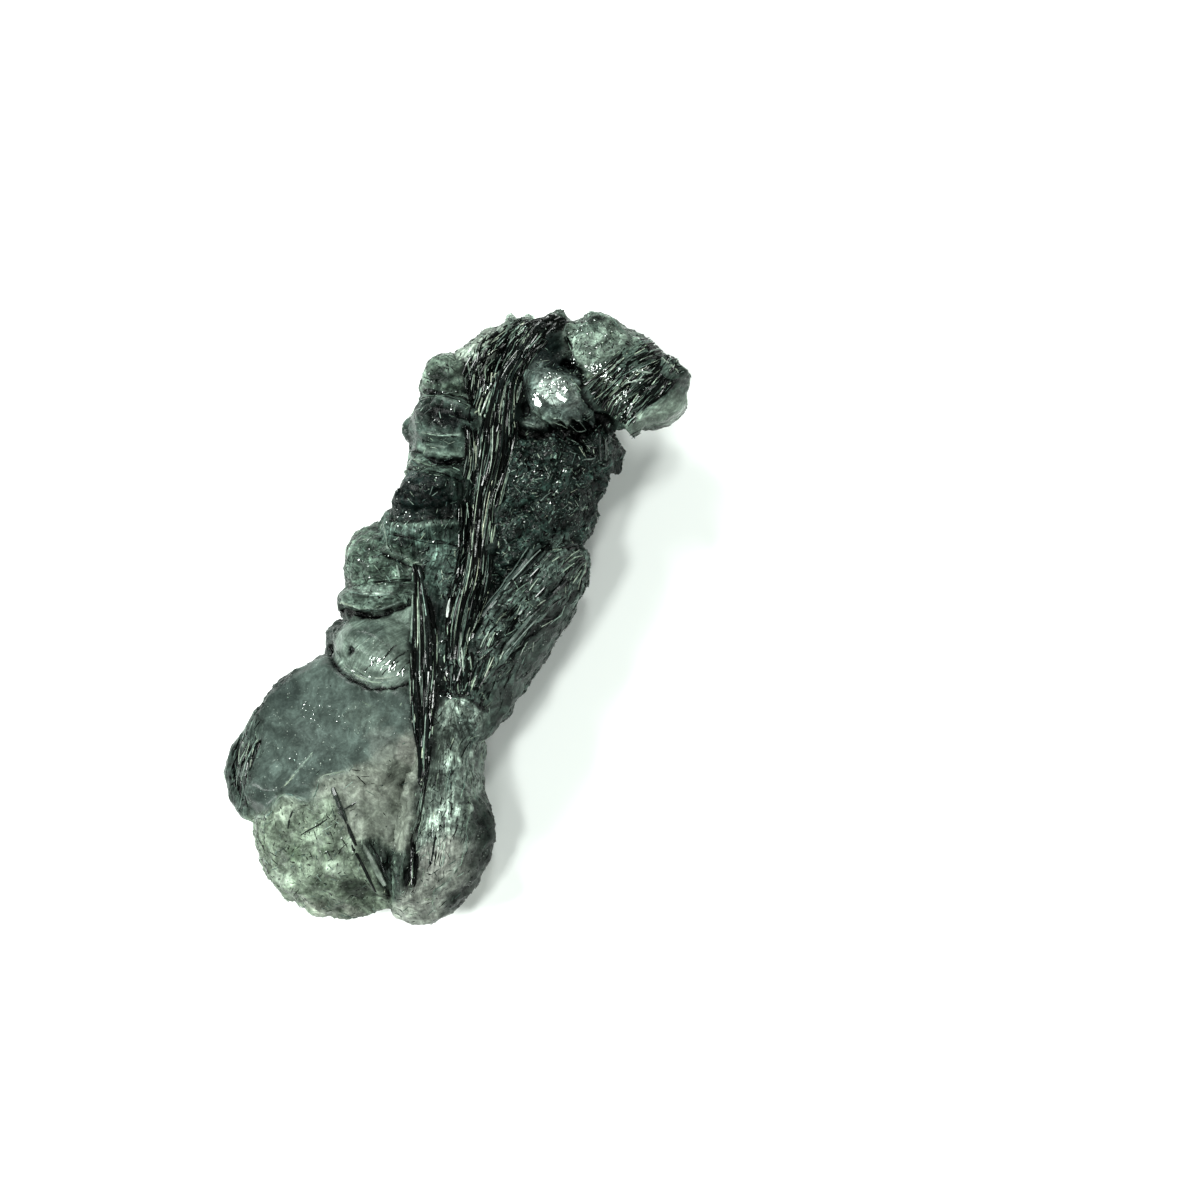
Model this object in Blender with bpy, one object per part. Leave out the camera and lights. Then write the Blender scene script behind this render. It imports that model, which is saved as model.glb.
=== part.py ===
"""Apatite crystal group: rounded green apatite crystals grown together round a stem of dark needles.

The group lies on a table. +Y runs along the stem from its wide foot to its hooked head, +Z is up,
and the origin is on the table under the middle of the group's box.
All of it grew as one piece, so the crystals, needles and crust are fused into one solid.
Every size is in millimetres until the last step, which scales the finished solid to metres.
"""

import math
import random

import bmesh
import bpy
from mathutils import Matrix, Vector
from mathutils.bvhtree import BVHTree

MM = 0.001
NODE = "apatite_crystal"

# Heights above the table that the rest is worked out from.
STEM_TOP = 7.1
SHOULDER_TOP = 7.7
HEAD_TOP = 9.5
FOOT_TOP = 6.4
SKY = 40.0

# A crystal's profile: share of its height, and how far its side is drawn in there, as a share of its half width.
MASS = ((0.0, 0.45), (0.2, 0.24), (0.45, 0.04), (0.6, 0.0), (0.85, 0.12), (1.0, 0.28))
LUMP = ((0.0, 0.5), (0.3, 0.1), (0.5, 0.0), (0.75, 0.12), (0.92, 0.32), (1.0, 0.52))
LEDGE = ((0.0, 0.35), (0.35, 0.1), (0.7, 0.0), (0.9, 0.05), (1.0, 0.15))
DOME = ((0.0, 0.4), (0.4, 0.0), (0.65, 0.1), (0.85, 0.26), (0.96, 0.42), (1.0, 0.55))

# Outlines of the large crystals, seen from above.
STEM_UPPER = ((-3.4, 2.6), (-3.9, 5.0), (-4.3, 8.4), (-4.2, 11.6), (-2.8, 13.8), (-0.6, 15.4), (2.2, 15.8), (4.6, 14.4),
              (5.6, 11.0), (5.9, 7.0), (5.2, 3.0))
STEM_LOWER = ((-4.3, -4.8), (-5.0, -1.8), (-5.2, 1.4), (-4.0, 3.6), (0.4, 5.4), (5.2, 4.6), (6.0, 1.0), (5.2, -3.6),
              (4.4, -7.6), (3.0, -11.0), (-1.6, -11.2), (-3.0, -8.0))
SHOULDER = ((0.6, 10.1), (2.8, 10.5), (4.8, 11.4), (6.1, 10.8), (6.3, 9.2), (5.8, 8.2), (6.3, 7.3), (6.2, 5.3),
            (5.4, 3.4), (4.2, 0.8), (2.4, 0.4), (0.9, 3.6), (0.0, 7.0))
FLANK = ((5.9, 5.5), (6.8, 5.0), (7.1, 3.9), (7.0, 2.4), (6.7, 0.9), (6.3, -0.9), (5.7, -2.8), (5.5, -4.5), (5.1, -6.3),
         (3.6, -7.6), (2.0, -5.2), (2.4, -1.8), (3.6, 1.6), (4.6, 4.4))
FOOT_PLATE = ((-8.0, -9.0), (-7.7, -8.0), (-7.0, -6.6), (-5.5, -5.0), (-3.6, -4.0), (-0.6, -3.2), (2.2, -4.4), (2.9, -8.6),
              (1.4, -10.8), (-1.2, -11.6), (-2.4, -12.4), (-3.7, -13.0), (-4.6, -14.2), (-6.4, -14.0), (-7.6, -12.8),
              (-8.2, -10.8))
FOOT_LEDGE = ((-8.5, -9.3), (-7.4, -8.0), (-5.6, -8.4), (-4.8, -12.4), (-5.6, -14.8), (-6.9, -14.7), (-8.0, -14.0),
              (-9.0, -12.7), (-9.2, -11.2))
FOOT_LOBE = ((-7.0, -13.4), (-6.3, -14.8), (-5.5, -15.9), (-4.6, -17.0), (-3.6, -17.7), (-2.5, -17.9), (-1.2, -18.1),
             (0.2, -17.9), (1.8, -17.1), (3.3, -16.2), (3.7, -14.4), (3.2, -9.4), (0.4, -6.8), (-3.2, -7.8), (-6.0, -10.0))
HEEL = ((1.5, -4.4), (3.3, -4.6), (4.6, -6.2), (4.9, -8.0), (5.2, -8.9), (6.2, -9.5), (6.9, -10.6), (7.1, -11.9),
        (6.9, -13.5), (6.3, -15.1), (5.3, -16.4), (4.4, -16.9), (3.4, -16.8), (2.4, -15.4), (2.3, -12.4), (1.7, -9.0))
CAP = ((1.9, 16.4), (2.5, 17.2), (3.3, 17.5), (4.2, 17.4), (6.1, 16.9), (7.9, 15.9), (8.9, 15.2), (8.9, 14.4), (8.2, 13.4),
       (7.3, 12.4), (6.2, 11.6), (5.1, 11.6), (3.9, 12.7), (2.6, 14.0), (1.7, 15.2))

# The smaller crystals: outline, lowest point, highest point, slope of the top along X and Y, profile.
SMALL_CRYSTALS = {
    "lens": (
        ((-5.0, -3.7), (-4.3, -4.8), (-2.9, -5.7), (-1.4, -5.9), (0.1, -5.5), (1.0, -4.4), (0.7, -2.8), (-0.6, -1.7),
         (-2.4, -1.7), (-4.1, -2.5)), 4.0, 7.9, (0.08, 0.1), LUMP),
    "lens_rim": (
        ((-5.7, -2.6), (-5.8, -3.7), (-5.6, -4.8), (-4.0, -5.3), (-3.0, -3.9), (-4.2, -2.0)), 2.4, 6.0, (0.2, 0.1), LUMP),
    "lump_a": (
        ((-5.2, -2.0), (-4.8, -2.8), (-3.5, -2.9), (-2.0, -2.1), (-0.6, -0.8), (-0.2, 0.4), (-1.4, 0.7), (-3.4, -0.1),
         (-4.9, -1.0)), 4.0, 8.1, (0.05, -0.1), LUMP),
    "lump_b": (
        ((-5.3, 3.1), (-6.2, 1.9), (-6.2, 1.0), (-5.8, -0.6), (-5.2, -1.3), (-3.6, -1.5), (-1.7, -0.8), (-0.6, 0.5),
         (-1.3, 2.6), (-3.4, 3.0)), 2.6, 7.6, (0.12, -0.06), LUMP),
    "lump_c": (
        ((-4.8, 3.7), (-5.1, 2.4), (-4.7, 1.6), (-3.4, 1.1), (-1.7, 1.3), (0.3, 2.1), (1.1, 3.8), (0.6, 5.2), (-1.8, 5.2),
         (-3.4, 4.6)), 3.2, 7.6, (0.08, 0.1), LUMP),
    "lump_d": (
        ((-4.1, 6.0), (-4.1, 4.5), (-4.3, 3.1), (-3.6, 2.6), (-2.3, 3.0), (-0.7, 3.6), (0.8, 5.2), (0.8, 6.5), (-0.3, 7.4),
         (-2.8, 7.2)), 3.4, 8.4, (0.06, 0.02), LUMP),
    "lump_e": (
        ((-5.2, 7.9), (-4.7, 6.5), (-4.4, 5.5), (-3.2, 5.0), (-1.2, 5.7), (0.0, 7.7), (-1.0, 8.9), (-3.7, 8.7)),
        2.8, 7.6, (0.1, -0.05), LUMP),
    "lump_f": (
        ((-4.8, 7.7), (-4.1, 7.1), (-3.0, 6.7), (-1.6, 6.9), (-0.4, 7.6), (0.3, 9.4), (-0.2, 10.6), (-2.0, 11.2),
         (-3.8, 10.9), (-4.9, 10.1), (-5.0, 9.1)), 3.2, 8.8, (0.04, -0.03), LUMP),
    "lump_g": (
        ((-5.4, 12.0), (-5.0, 12.7), (-4.2, 13.1), (-3.2, 13.1), (-2.1, 12.5), (-1.5, 11.2), (-2.2, 10.2), (-4.0, 9.8),
         (-5.2, 9.8), (-5.4, 10.8)), 3.0, 8.2, (0.1, 0.0), LUMP),
    "lump_h": (
        ((-4.3, 12.7), (-3.5, 13.7), (-2.8, 14.9), (-1.8, 15.5), (-0.4, 15.2), (-0.4, 13.5), (-0.8, 11.7), (-2.5, 10.9),
         (-3.7, 11.7)), 3.2, 8.1, (0.1, -0.06), LUMP),
    "crest": (
        ((-2.9, 14.7), (-1.7, 15.6), (-0.5, 16.0), (0.7, 16.4), (1.9, 16.4), (2.9, 15.6), (1.9, 13.9), (-0.3, 13.0),
         (-2.2, 13.5)), 3.2, 8.4, (0.0, -0.05), LUMP),
    "knob": (((-5.3, 8.4), (-5.2, 7.8), (-4.7, 7.5), (-3.6, 7.7), (-3.9, 8.9), (-5.0, 8.9)), 4.4, 6.9, (0.0, 0.0), LEDGE),
    "dome": (
        ((0.7, 12.9), (1.0, 11.5), (1.7, 10.5), (2.9, 10.0), (4.3, 10.2), (5.4, 10.8), (5.7, 11.9), (5.0, 13.1),
         (3.7, 13.7), (2.4, 13.9), (1.4, 13.6)), 4.0, HEAD_TOP, (0.0, -0.1), DOME),
    "cap_lip": (
        ((6.3, 12.6), (6.8, 13.6), (7.2, 14.4), (8.1, 15.0), (8.8, 14.9), (9.2, 14.4), (9.1, 13.7), (8.5, 12.9),
         (7.5, 12.3), (6.6, 12.0)), 3.6, 6.5, (-0.1, 0.0), LEDGE),
    "cap_beak": (((7.7, 16.0), (8.5, 15.8), (9.3, 15.5), (9.3, 15.0), (8.9, 14.4), (7.6, 14.6)), 5.4, 7.6, (-0.1, 0.0), LEDGE),
    "fin": (((5.1, 11.8), (5.8, 11.7), (6.2, 10.8), (6.4, 9.8), (5.9, 9.3), (5.0, 10.4)), 2.6, 7.0, (-0.1, 0.0), LEDGE),
}

# Crystals under the group. The first three pass through the table's plane, where they are cut off flat.
LOW_CRYSTALS = {
    "keel_foot": (
        ((-3.4, -12.4), (-2.9, -15.0), (-0.6, -16.3), (1.7, -15.4), (2.4, -12.8), (1.2, -10.4), (-1.2, -9.8)), -0.7, 3.4),
    "keel_heel": (((2.6, -10.2), (3.0, -13.6), (4.2, -15.2), (5.4, -14.0), (5.6, -11.4), (4.6, -9.4)), -0.6, 3.2),
    "keel_head": (
        ((-2.9, 9.2), (-2.2, 12.0), (0.4, 13.4), (3.2, 12.0), (3.6, 8.6), (1.8, 6.2), (-1.4, 6.4)), -0.7, 3.8),
    "keel_flank": (((1.4, 2.2), (3.4, 3.6), (5.4, 1.6), (5.1, -3.0), (3.0, -5.2), (0.9, -2.6)), 0.5, 3.4),
    "keel_left": (((-4.4, 0.8), (-3.4, 3.6), (-1.2, 4.0), (-0.2, 1.4), (-1.4, -1.4), (-3.6, -1.6)), 0.8, 3.8),
    "keel_cap": (((2.6, 14.0), (3.6, 15.8), (5.8, 15.6), (6.9, 14.0), (6.0, 12.4), (3.8, 12.0)), 2.4, 6.0),
}

# Bundles of needles: route seen from above, half widths along it, how many needles, how high they stand
# over the crystals at the bundle's middle and at its edges.
BUNDLES = {
    "main": (
        ((2.2, 16.2), (1.2, 14.5), (0.5, 12.7), (0.3, 11.0), (0.6, 9.2), (1.0, 7.2), (1.6, 4.6), (2.0, 2.4), (2.6, -0.8)),
        (1.3, 1.25, 1.1, 1.05, 1.0, 0.95, 0.9, 0.7, 0.3), 11, 1.2, 0.3),
    "lower": (
        ((-0.9, 1.8), (0.1, -0.7), (1.3, -2.8), (2.4, -5.0), (2.9, -7.1), (3.1, -9.1), (3.4, -11.4), (4.0, -15.0)),
        (0.4, 0.7, 0.95, 1.0, 0.8, 0.6, 0.5, 0.2), 8, 0.55, 0.1),
    "columns": (((0.9, 2.2), (1.7, 0.0), (2.7, -2.4), (3.6, -4.8)), (0.6, 0.9, 0.8, 0.3), 5, 0.5, 0.05),
    "cap_ribs": (((5.7, 12.3), (6.4, 13.6), (7.2, 14.9), (7.6, 15.7)), (1.5, 1.9, 1.9, 1.6), 9, 0.15, 0.1),
    "flank_ribs": (((6.2, 4.6), (5.9, 2.2), (5.4, -0.2), (4.9, -3.0)), (0.3, 0.8, 0.9, 0.4), 5, 0.25, 0.05),
    "ledge_ribs": (((-8.1, -9.7), (-8.3, -11.4), (-8.0, -13.4)), (0.2, 0.55, 0.3), 3, 0.12, 0.05),
}

# Single blades: start and end seen from above, thickness, and how high the middle stands over the crystals.
BLADES = {
    "long_blade": ((5.1, 4.3), (3.8, -1.3), 0.32, 0.2),
    "short_blade": ((5.8, 4.4), (4.8, 1.6), 0.2, 0.15),
    "wide_rod": ((-1.4, -11.7), (0.2, -13.6), 0.32, 0.08),
    "long_rod": ((-0.2, -13.1), (2.6, -15.8), 0.24, 0.08),
    "thin_rod": ((0.8, -12.9), (2.9, -15.2), 0.18, 0.06),
    "cross_rod": ((-2.0, -13.8), (0.9, -11.8), 0.12, 0.04),
}

# Patches of small prisms: middle, reach along X and Y, lie in degrees from +X, how many.
CRUST = (
    ((3.6, 8.2), (2.1, 1.5), 75, 17),
    ((3.9, 5.2), (1.9, 1.5), 72, 13),
    ((3.0, 2.4), (0.8, 1.4), 66, 6),
    ((4.4, 0.0), (0.9, 2.6), 72, 6),
)


def clear_scene():
    for thing in list(bpy.data.objects):
        bpy.data.objects.remove(thing)


def object_from(name, mesh_data):
    mesh = bpy.data.meshes.new(name)
    mesh_data.to_mesh(mesh)
    mesh_data.free()
    piece = bpy.data.objects.new(name, mesh)
    bpy.context.scene.collection.objects.link(piece)
    return piece


def skin(rings):
    """One closed body from rings of equal length, with a cap at each end."""
    body = bmesh.new()
    levels = [[body.verts.new(point) for point in ring] for ring in rings]
    count = len(levels[0])
    for lower, upper in zip(levels, levels[1:]):
        for i in range(count):
            j = (i + 1) % count
            body.faces.new((lower[i], lower[j], upper[j], upper[i]))
    body.faces.new(reversed(levels[0]))
    body.faces.new(levels[-1])
    bmesh.ops.recalc_face_normals(body, faces=body.faces)
    return body


def doubled_area(corners):
    return sum(a.x * b.y - b.x * a.y for a, b in zip(corners, corners[1:] + corners[:1]))


def half_width(corners):
    """The radius of the circle that has the outline's area for its length round the edge."""
    edge = sum((b - a).length for a, b in zip(corners, corners[1:] + corners[:1]))
    return abs(doubled_area(corners)) / edge


def drawn_in(corners, depth, step=0.1, even=0.2):
    """The outline moved inwards by depth, a step at a time, its corners evened out so that it never folds over."""
    steps = math.ceil(depth / step)
    for _ in range(steps):
        inward = math.copysign(depth / steps, doubled_area(corners))
        moved = []
        for before, corner, after in zip(corners[-1:] + corners[:-1], corners, corners[1:] + corners[:1]):
            heading = ((corner - before).normalized() + (after - corner).normalized()).normalized()
            inner = corner + Vector((-heading.y, heading.x)) * inward
            moved.append(inner.lerp((before + after) / 2, even))
        corners = moved
    return corners


def crystal(name, outline, low, high, slope=(0.0, 0.0), profile=LUMP, uneven=0.1):
    """A faceted crystal that fills its outline. slope is how far its top face rises per mm of X and Y."""
    chance = random.Random(name)
    corners = [Vector(point) for point in outline]
    middle = sum(corners, Vector((0.0, 0.0))) / len(corners)
    rings = []
    for height, depth in profile:
        shake = uneven * (1.0 - height)
        ring = []
        for corner in drawn_in(corners, depth * half_width(corners)):
            top = high + slope[0] * (corner.x - middle.x) + slope[1] * (corner.y - middle.y)
            x = corner.x + chance.uniform(-shake, shake)
            y = corner.y + chance.uniform(-shake, shake)
            ring.append((x, y, low + height * (top - low)))
        rings.append(ring)
    return object_from(name, skin(rings))


def grow_body():
    """The large crystals that carry everything else."""
    return [
        crystal("stem_upper", STEM_UPPER, 0.9, STEM_TOP, (-0.02, 0.03), MASS),
        crystal("stem_lower", STEM_LOWER, 0.7, STEM_TOP - 0.2, (-0.02, 0.05), MASS),
        crystal("shoulder", SHOULDER, 0.8, SHOULDER_TOP, (-0.2, 0.02), MASS),
        crystal("flank", FLANK, 1.0, STEM_TOP, (-0.3, 0.04), MASS),
        crystal("foot_plate", FOOT_PLATE, 1.4, FOOT_TOP, (0.1, 0.04), LEDGE),
        crystal("foot_ledge", FOOT_LEDGE, 1.4, 4.4, (0.05, 0.0), LEDGE),
        crystal("foot_lobe", FOOT_LOBE, -0.6, FOOT_TOP - 0.4, (0.04, 0.1), MASS),
        crystal("heel", HEEL, -0.5, FOOT_TOP - 0.4, (-0.1, 0.1), MASS),
        crystal("cap", CAP, 3.8, HEAD_TOP - 1.5, (-0.26, 0.04), LUMP),
    ]


def grow_small_crystals():
    """The lumps up the left side, the head's dome and lip, and what the group stands on."""
    grown = [crystal(name, *measures) for name, measures in SMALL_CRYSTALS.items()]
    grown += [crystal(name, *measures) for name, measures in LOW_CRYSTALS.items()]
    return grown


def fuse(name, crystals):
    """Joins crystals that overlap into one closed body."""
    first, *others = crystals
    together = bpy.data.collections.new(name + "_parts")
    for piece in others:
        together.objects.link(piece)
    union = first.modifiers.new("grown_together", "BOOLEAN")
    union.operation = "UNION"
    union.operand_type = "COLLECTION"
    union.collection = together
    graph = bpy.context.evaluated_depsgraph_get()
    mesh = bpy.data.meshes.new_from_object(first.evaluated_get(graph))
    for piece in crystals:
        bpy.data.objects.remove(piece)
    bpy.data.collections.remove(together)
    fused = bpy.data.objects.new(name, mesh)
    bpy.context.scene.collection.objects.link(fused)
    return fused


class Ground:
    """Finds the height of the crystals under a point."""

    def __init__(self, body):
        data = bmesh.new()
        data.from_mesh(body.data)
        self.tree = BVHTree.FromBMesh(data)
        data.free()

    def top(self, x, y):
        spot = self.tree.ray_cast(Vector((x, y, SKY)), Vector((0.0, 0.0, -1.0)))[0]
        return STEM_TOP if spot is None else spot.z


def along(values, share):
    """The value that share of the way along a smooth curve through evenly spaced values."""
    spans = len(values) - 1
    place = min(max(share, 0.0), 1.0) * spans
    i = min(int(place), spans - 1)
    t = place - i
    p0, p1, p2, p3 = (values[min(max(k, 0), spans)] for k in (i - 1, i, i + 1, i + 2))
    return 0.5 * (2 * p1 + (p2 - p0) * t + (2 * p0 - 5 * p1 + 4 * p2 - p3) * t**2 + (3 * p1 - p0 - 3 * p2 + p3) * t**3)


def needle_bundle(name, ground, route, half_widths, needles, rise, edge_rise, groove=0.28, root=0.9):
    """Needles side by side along a route, as one ribbed body whose underside is sunk into the crystals."""
    chance = random.Random(name)
    path = [Vector(point) for point in route]
    length = sum((b - a).length for a, b in zip(path, path[1:]))
    steps = max(4, round(length / 1.7))
    crests = [chance.uniform(-0.12, 0.12) for _ in range(needles)]
    rings = []
    for step in range(steps + 1):
        share = step / steps
        here = along(path, share)
        heading = (along(path, share + 0.02) - along(path, share - 0.02)).normalized()
        across = Vector((-heading.y, heading.x))
        half = along(half_widths, share)
        end_drop = 0.5 if step in (0, steps) else 0.0
        ring = []
        for k in range(2 * needles + 1):
            side = k / needles - 1.0
            spot = here + across * (side * half)
            level = 0.5 * (ground.top(here.x, here.y) + ground.top(spot.x, spot.y))
            height = level + edge_rise + (rise - edge_rise) * (1.0 - side * side) - end_drop
            if k % 2:
                height += crests[k // 2] + chance.uniform(-0.06, 0.06)
            else:
                height -= groove
            ring.append((spot.x, spot.y, height))
        right = here + across * half
        left = here - across * half
        sunk = min(point[2] for point in ring) - root
        ring += [(right.x, right.y, sunk), (left.x, left.y, sunk)]
        rings.append(ring)
    return object_from(name, skin(rings))


def prism(name, points, radius, sides=6, flat=1.0, tip=0.6):
    """A thin prism that follows points, flattened by flat, with its ends drawn in to tip times its radius."""
    rings = []
    last = len(points) - 1
    for i, point in enumerate(points):
        heading = (points[min(i + 1, last)] - points[max(i - 1, 0)]).normalized()
        across = heading.cross(Vector((0.0, 0.0, 1.0))).normalized()
        above = across.cross(heading)
        size = radius * (tip if i in (0, last) else 1.0)
        ring = []
        for k in range(sides):
            angle = math.tau * (k + 0.5) / sides
            ring.append(point + across * (math.cos(angle) * size) + above * (math.sin(angle) * size * flat))
        rings.append(ring)
    return object_from(name, skin(rings))


def blade(name, ground, start, end, radius, lift, sunk=0.3):
    """One straight blade lying on the crystals, its ends sunk into them."""
    first = Vector((*start, ground.top(*start) - sunk))
    last = Vector((*end, ground.top(*end) - sunk))
    inner = [first.lerp(last, share) for share in (0.12, 0.88)]
    for point in inner:
        point.z = ground.top(point.x, point.y) + lift
    return prism(name, [first, *inner, last], radius, flat=0.7)


def grow_crust(ground):
    """Small prisms that lie half sunk in the shoulder, the flank and the head."""
    chance = random.Random(NODE)
    grown = []
    for patch, (middle, reach, lie, count) in enumerate(CRUST):
        for number in range(count):
            x = middle[0] + reach[0] * chance.uniform(-1.0, 1.0)
            y = middle[1] + reach[1] * chance.uniform(-1.0, 1.0)
            turn = math.radians(lie + chance.uniform(-22.0, 22.0))
            radius = chance.uniform(0.26, 0.42)
            heading = Vector((math.cos(turn), math.sin(turn), chance.uniform(-0.2, 0.2))).normalized()
            middle_of_prism = Vector((x, y, ground.top(x, y) + 0.05))
            reach_of_prism = heading * chance.uniform(0.45, 0.9)
            points = [middle_of_prism - reach_of_prism, middle_of_prism, middle_of_prism + reach_of_prism]
            grown.append(prism(f"crust_{patch}_{number}", points, radius, sides=5, tip=0.7))
    return grown


def grow_details(ground):
    """What stands on the large crystals."""
    grown = [needle_bundle(name, ground, *measures) for name, measures in BUNDLES.items()]
    grown += [blade(name, ground, *measures) for name, measures in BLADES.items()]
    return grown + grow_crust(ground)


def cut_flat(body):
    """Takes away what lies under the table, which leaves flat faces to rest on."""
    data = bmesh.new()
    bmesh.ops.create_cube(data, size=2 * SKY, matrix=Matrix.Translation((0.0, 0.0, -SKY)))
    table = object_from("table", data)
    table.hide_render = True
    table.display_type = "WIRE"
    cut = body.modifiers.new("cut_flat", "BOOLEAN")
    cut.operation = "DIFFERENCE"
    cut.object = table
    graph = bpy.context.evaluated_depsgraph_get()
    mesh = bpy.data.meshes.new_from_object(body.evaluated_get(graph))
    body.modifiers.clear()
    body.data = mesh
    bpy.data.objects.remove(table)


def fill_pockets(body):
    """Takes away the small pockets that are shut in where crystals meet, so that the solid is whole."""
    data = bmesh.new()
    data.from_mesh(body.data)
    unseen = set(data.faces)
    shells = []
    while unseen:
        shell = {unseen.pop()}
        rim = list(shell)
        while rim:
            face = rim.pop()
            beside = {other for edge in face.edges for other in edge.link_faces} & unseen
            unseen -= beside
            shell |= beside
            rim.extend(beside)
        shells.append(shell)
    shells.sort(key=len)
    for shell in shells[:-1]:
        bmesh.ops.delete(data, geom=list(shell), context="FACES")
    data.to_mesh(body.data)
    data.free()


def stand_at_origin(body):
    """Scales to metres, with the middle of the box's base at the origin."""
    corners = [vertex.co for vertex in body.data.vertices]
    middle = [(min(c[axis] for c in corners) + max(c[axis] for c in corners)) / 2 for axis in (0, 1)]
    floor = min(c.z for c in corners)
    shift = Matrix.Translation((-middle[0], -middle[1], -floor))
    body.data.transform(Matrix.Scale(MM, 4) @ shift)


def finish_with(body, name, colour, roughness):
    """Gives the solid its plain green-grey, glossy crystal material."""
    material = bpy.data.materials.new(name)
    material.use_nodes = True
    shader = material.node_tree.nodes["Principled BSDF"]
    shader.inputs["Base Color"].default_value = (*colour, 1.0)
    shader.inputs["Roughness"].default_value = roughness
    shader.inputs["Metallic"].default_value = 0.0
    body.data.materials.clear()
    body.data.materials.append(material)


def grow_crystal():
    """The whole group in millimetres, as one solid."""
    body = fuse("body", grow_body() + grow_small_crystals())
    group = fuse(NODE, [body, *grow_details(Ground(body))])
    cut_flat(group)
    fill_pockets(group)
    return group


def main():
    clear_scene()
    group = grow_crystal()
    stand_at_origin(group)
    finish_with(group, "apatite", (0.10, 0.15, 0.12), 0.3)


main()
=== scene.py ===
"""Looks of the apatite crystal group: weathered green crystals, dark needles, crust, floor, light and camera.

The CAD solid gives the form. A finer skin made from it carries the relief of each crystal. Needles, rods, edges,
grains, cleavage tablets and clear flakes are grown on it. Sizes are in millimetres until each mesh is placed.
"""

import math
import random
from collections import namedtuple
from functools import reduce

import bpy
import numpy as np
from mathutils import Matrix, Vector, noise
from mathutils.bvhtree import BVHTree


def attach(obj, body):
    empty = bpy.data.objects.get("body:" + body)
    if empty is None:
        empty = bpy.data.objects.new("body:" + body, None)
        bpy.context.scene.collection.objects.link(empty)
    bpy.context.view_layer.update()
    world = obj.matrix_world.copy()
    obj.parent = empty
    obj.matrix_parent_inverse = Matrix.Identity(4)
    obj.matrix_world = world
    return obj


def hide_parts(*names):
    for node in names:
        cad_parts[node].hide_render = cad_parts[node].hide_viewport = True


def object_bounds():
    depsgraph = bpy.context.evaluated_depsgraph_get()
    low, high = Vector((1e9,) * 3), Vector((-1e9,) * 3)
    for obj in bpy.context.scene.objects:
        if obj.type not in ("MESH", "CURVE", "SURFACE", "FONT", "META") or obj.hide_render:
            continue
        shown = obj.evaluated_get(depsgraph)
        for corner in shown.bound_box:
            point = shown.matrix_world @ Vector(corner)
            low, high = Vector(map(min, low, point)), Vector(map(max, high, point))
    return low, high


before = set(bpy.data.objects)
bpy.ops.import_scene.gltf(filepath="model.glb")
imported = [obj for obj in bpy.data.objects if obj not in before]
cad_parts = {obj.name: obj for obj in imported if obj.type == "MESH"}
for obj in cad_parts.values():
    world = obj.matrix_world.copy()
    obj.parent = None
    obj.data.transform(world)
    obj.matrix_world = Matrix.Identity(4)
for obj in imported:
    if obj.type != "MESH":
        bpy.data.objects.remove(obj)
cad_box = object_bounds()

MM = 0.001
NODE = "apatite_crystal"
SEED = 1971

# The skin: face size, how far it may stand out of the CAD box, the height below which it rests on the table,
# sizes of its broken facets, and how deep a line is a crevice that grains keep out of and that takes painted shade.
VOXEL = 0.145
EDGE_ROOM = 0.12
ON_TABLE = 0.06
LARGE_FACET = 0.75
SMALL_FACET = 0.36
CREVICE = 0.05

# What grows on it: the height that rays start from, the lowest grain, length of a needle's steps, the shortest
# share of a bundle that a needle runs, and how thick pale needles are to dark ones.
SKY = 40.0
LOWEST_GRAIN = 0.3
NEEDLE_STEP = 0.55
SHORTEST_NEEDLE = 0.03
PALE_NEEDLE = 0.56

# Colours are read as the photo shows them, lit. This share of their brightness is paint, and the light does the rest.
PAINT = 0.55
CLEAR = (190, 202, 192)

# The studio, in metres: table's side, where the lights aim, their colour, and each one's place, size and radiance.
TABLE = 1.2
AIM = (0.0, 0.0, 0.004)
LIGHT_COLOUR = (0.94, 1.0, 0.96)
LIGHTS = (
    ("left", (-0.20, -0.16, 0.20), 0.09, 37.0),
    ("back_left", (-0.15, 0.17, 0.22), 0.08, 31.0),
    ("front", (-0.02, -0.10, 0.30), 0.05, 40.0),
    ("back", (0.06, 0.13, 0.28), 0.05, 27.0),
    ("right", (0.20, 0.02, 0.22), 0.08, 8.5),
    ("front_right", (0.12, -0.16, 0.22), 0.06, 10.0),
)
SKY_COLOUR = (0.88, 1.0, 0.9, 1.0)
SKY_STRENGTH = 0.15

# The camera as the ruler in the photo places it: focal length and sensor in mm, place in metres, and its headings.
LENS = 75.38
SENSOR = 36.0
VIEW_PLACE = (0.05251, -0.01704, 0.1292)
VIEW_RIGHT = (0.8984, 0.3523, -0.2623)
VIEW_FORWARD = (-0.3308, 0.1498, -0.9317)

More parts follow.
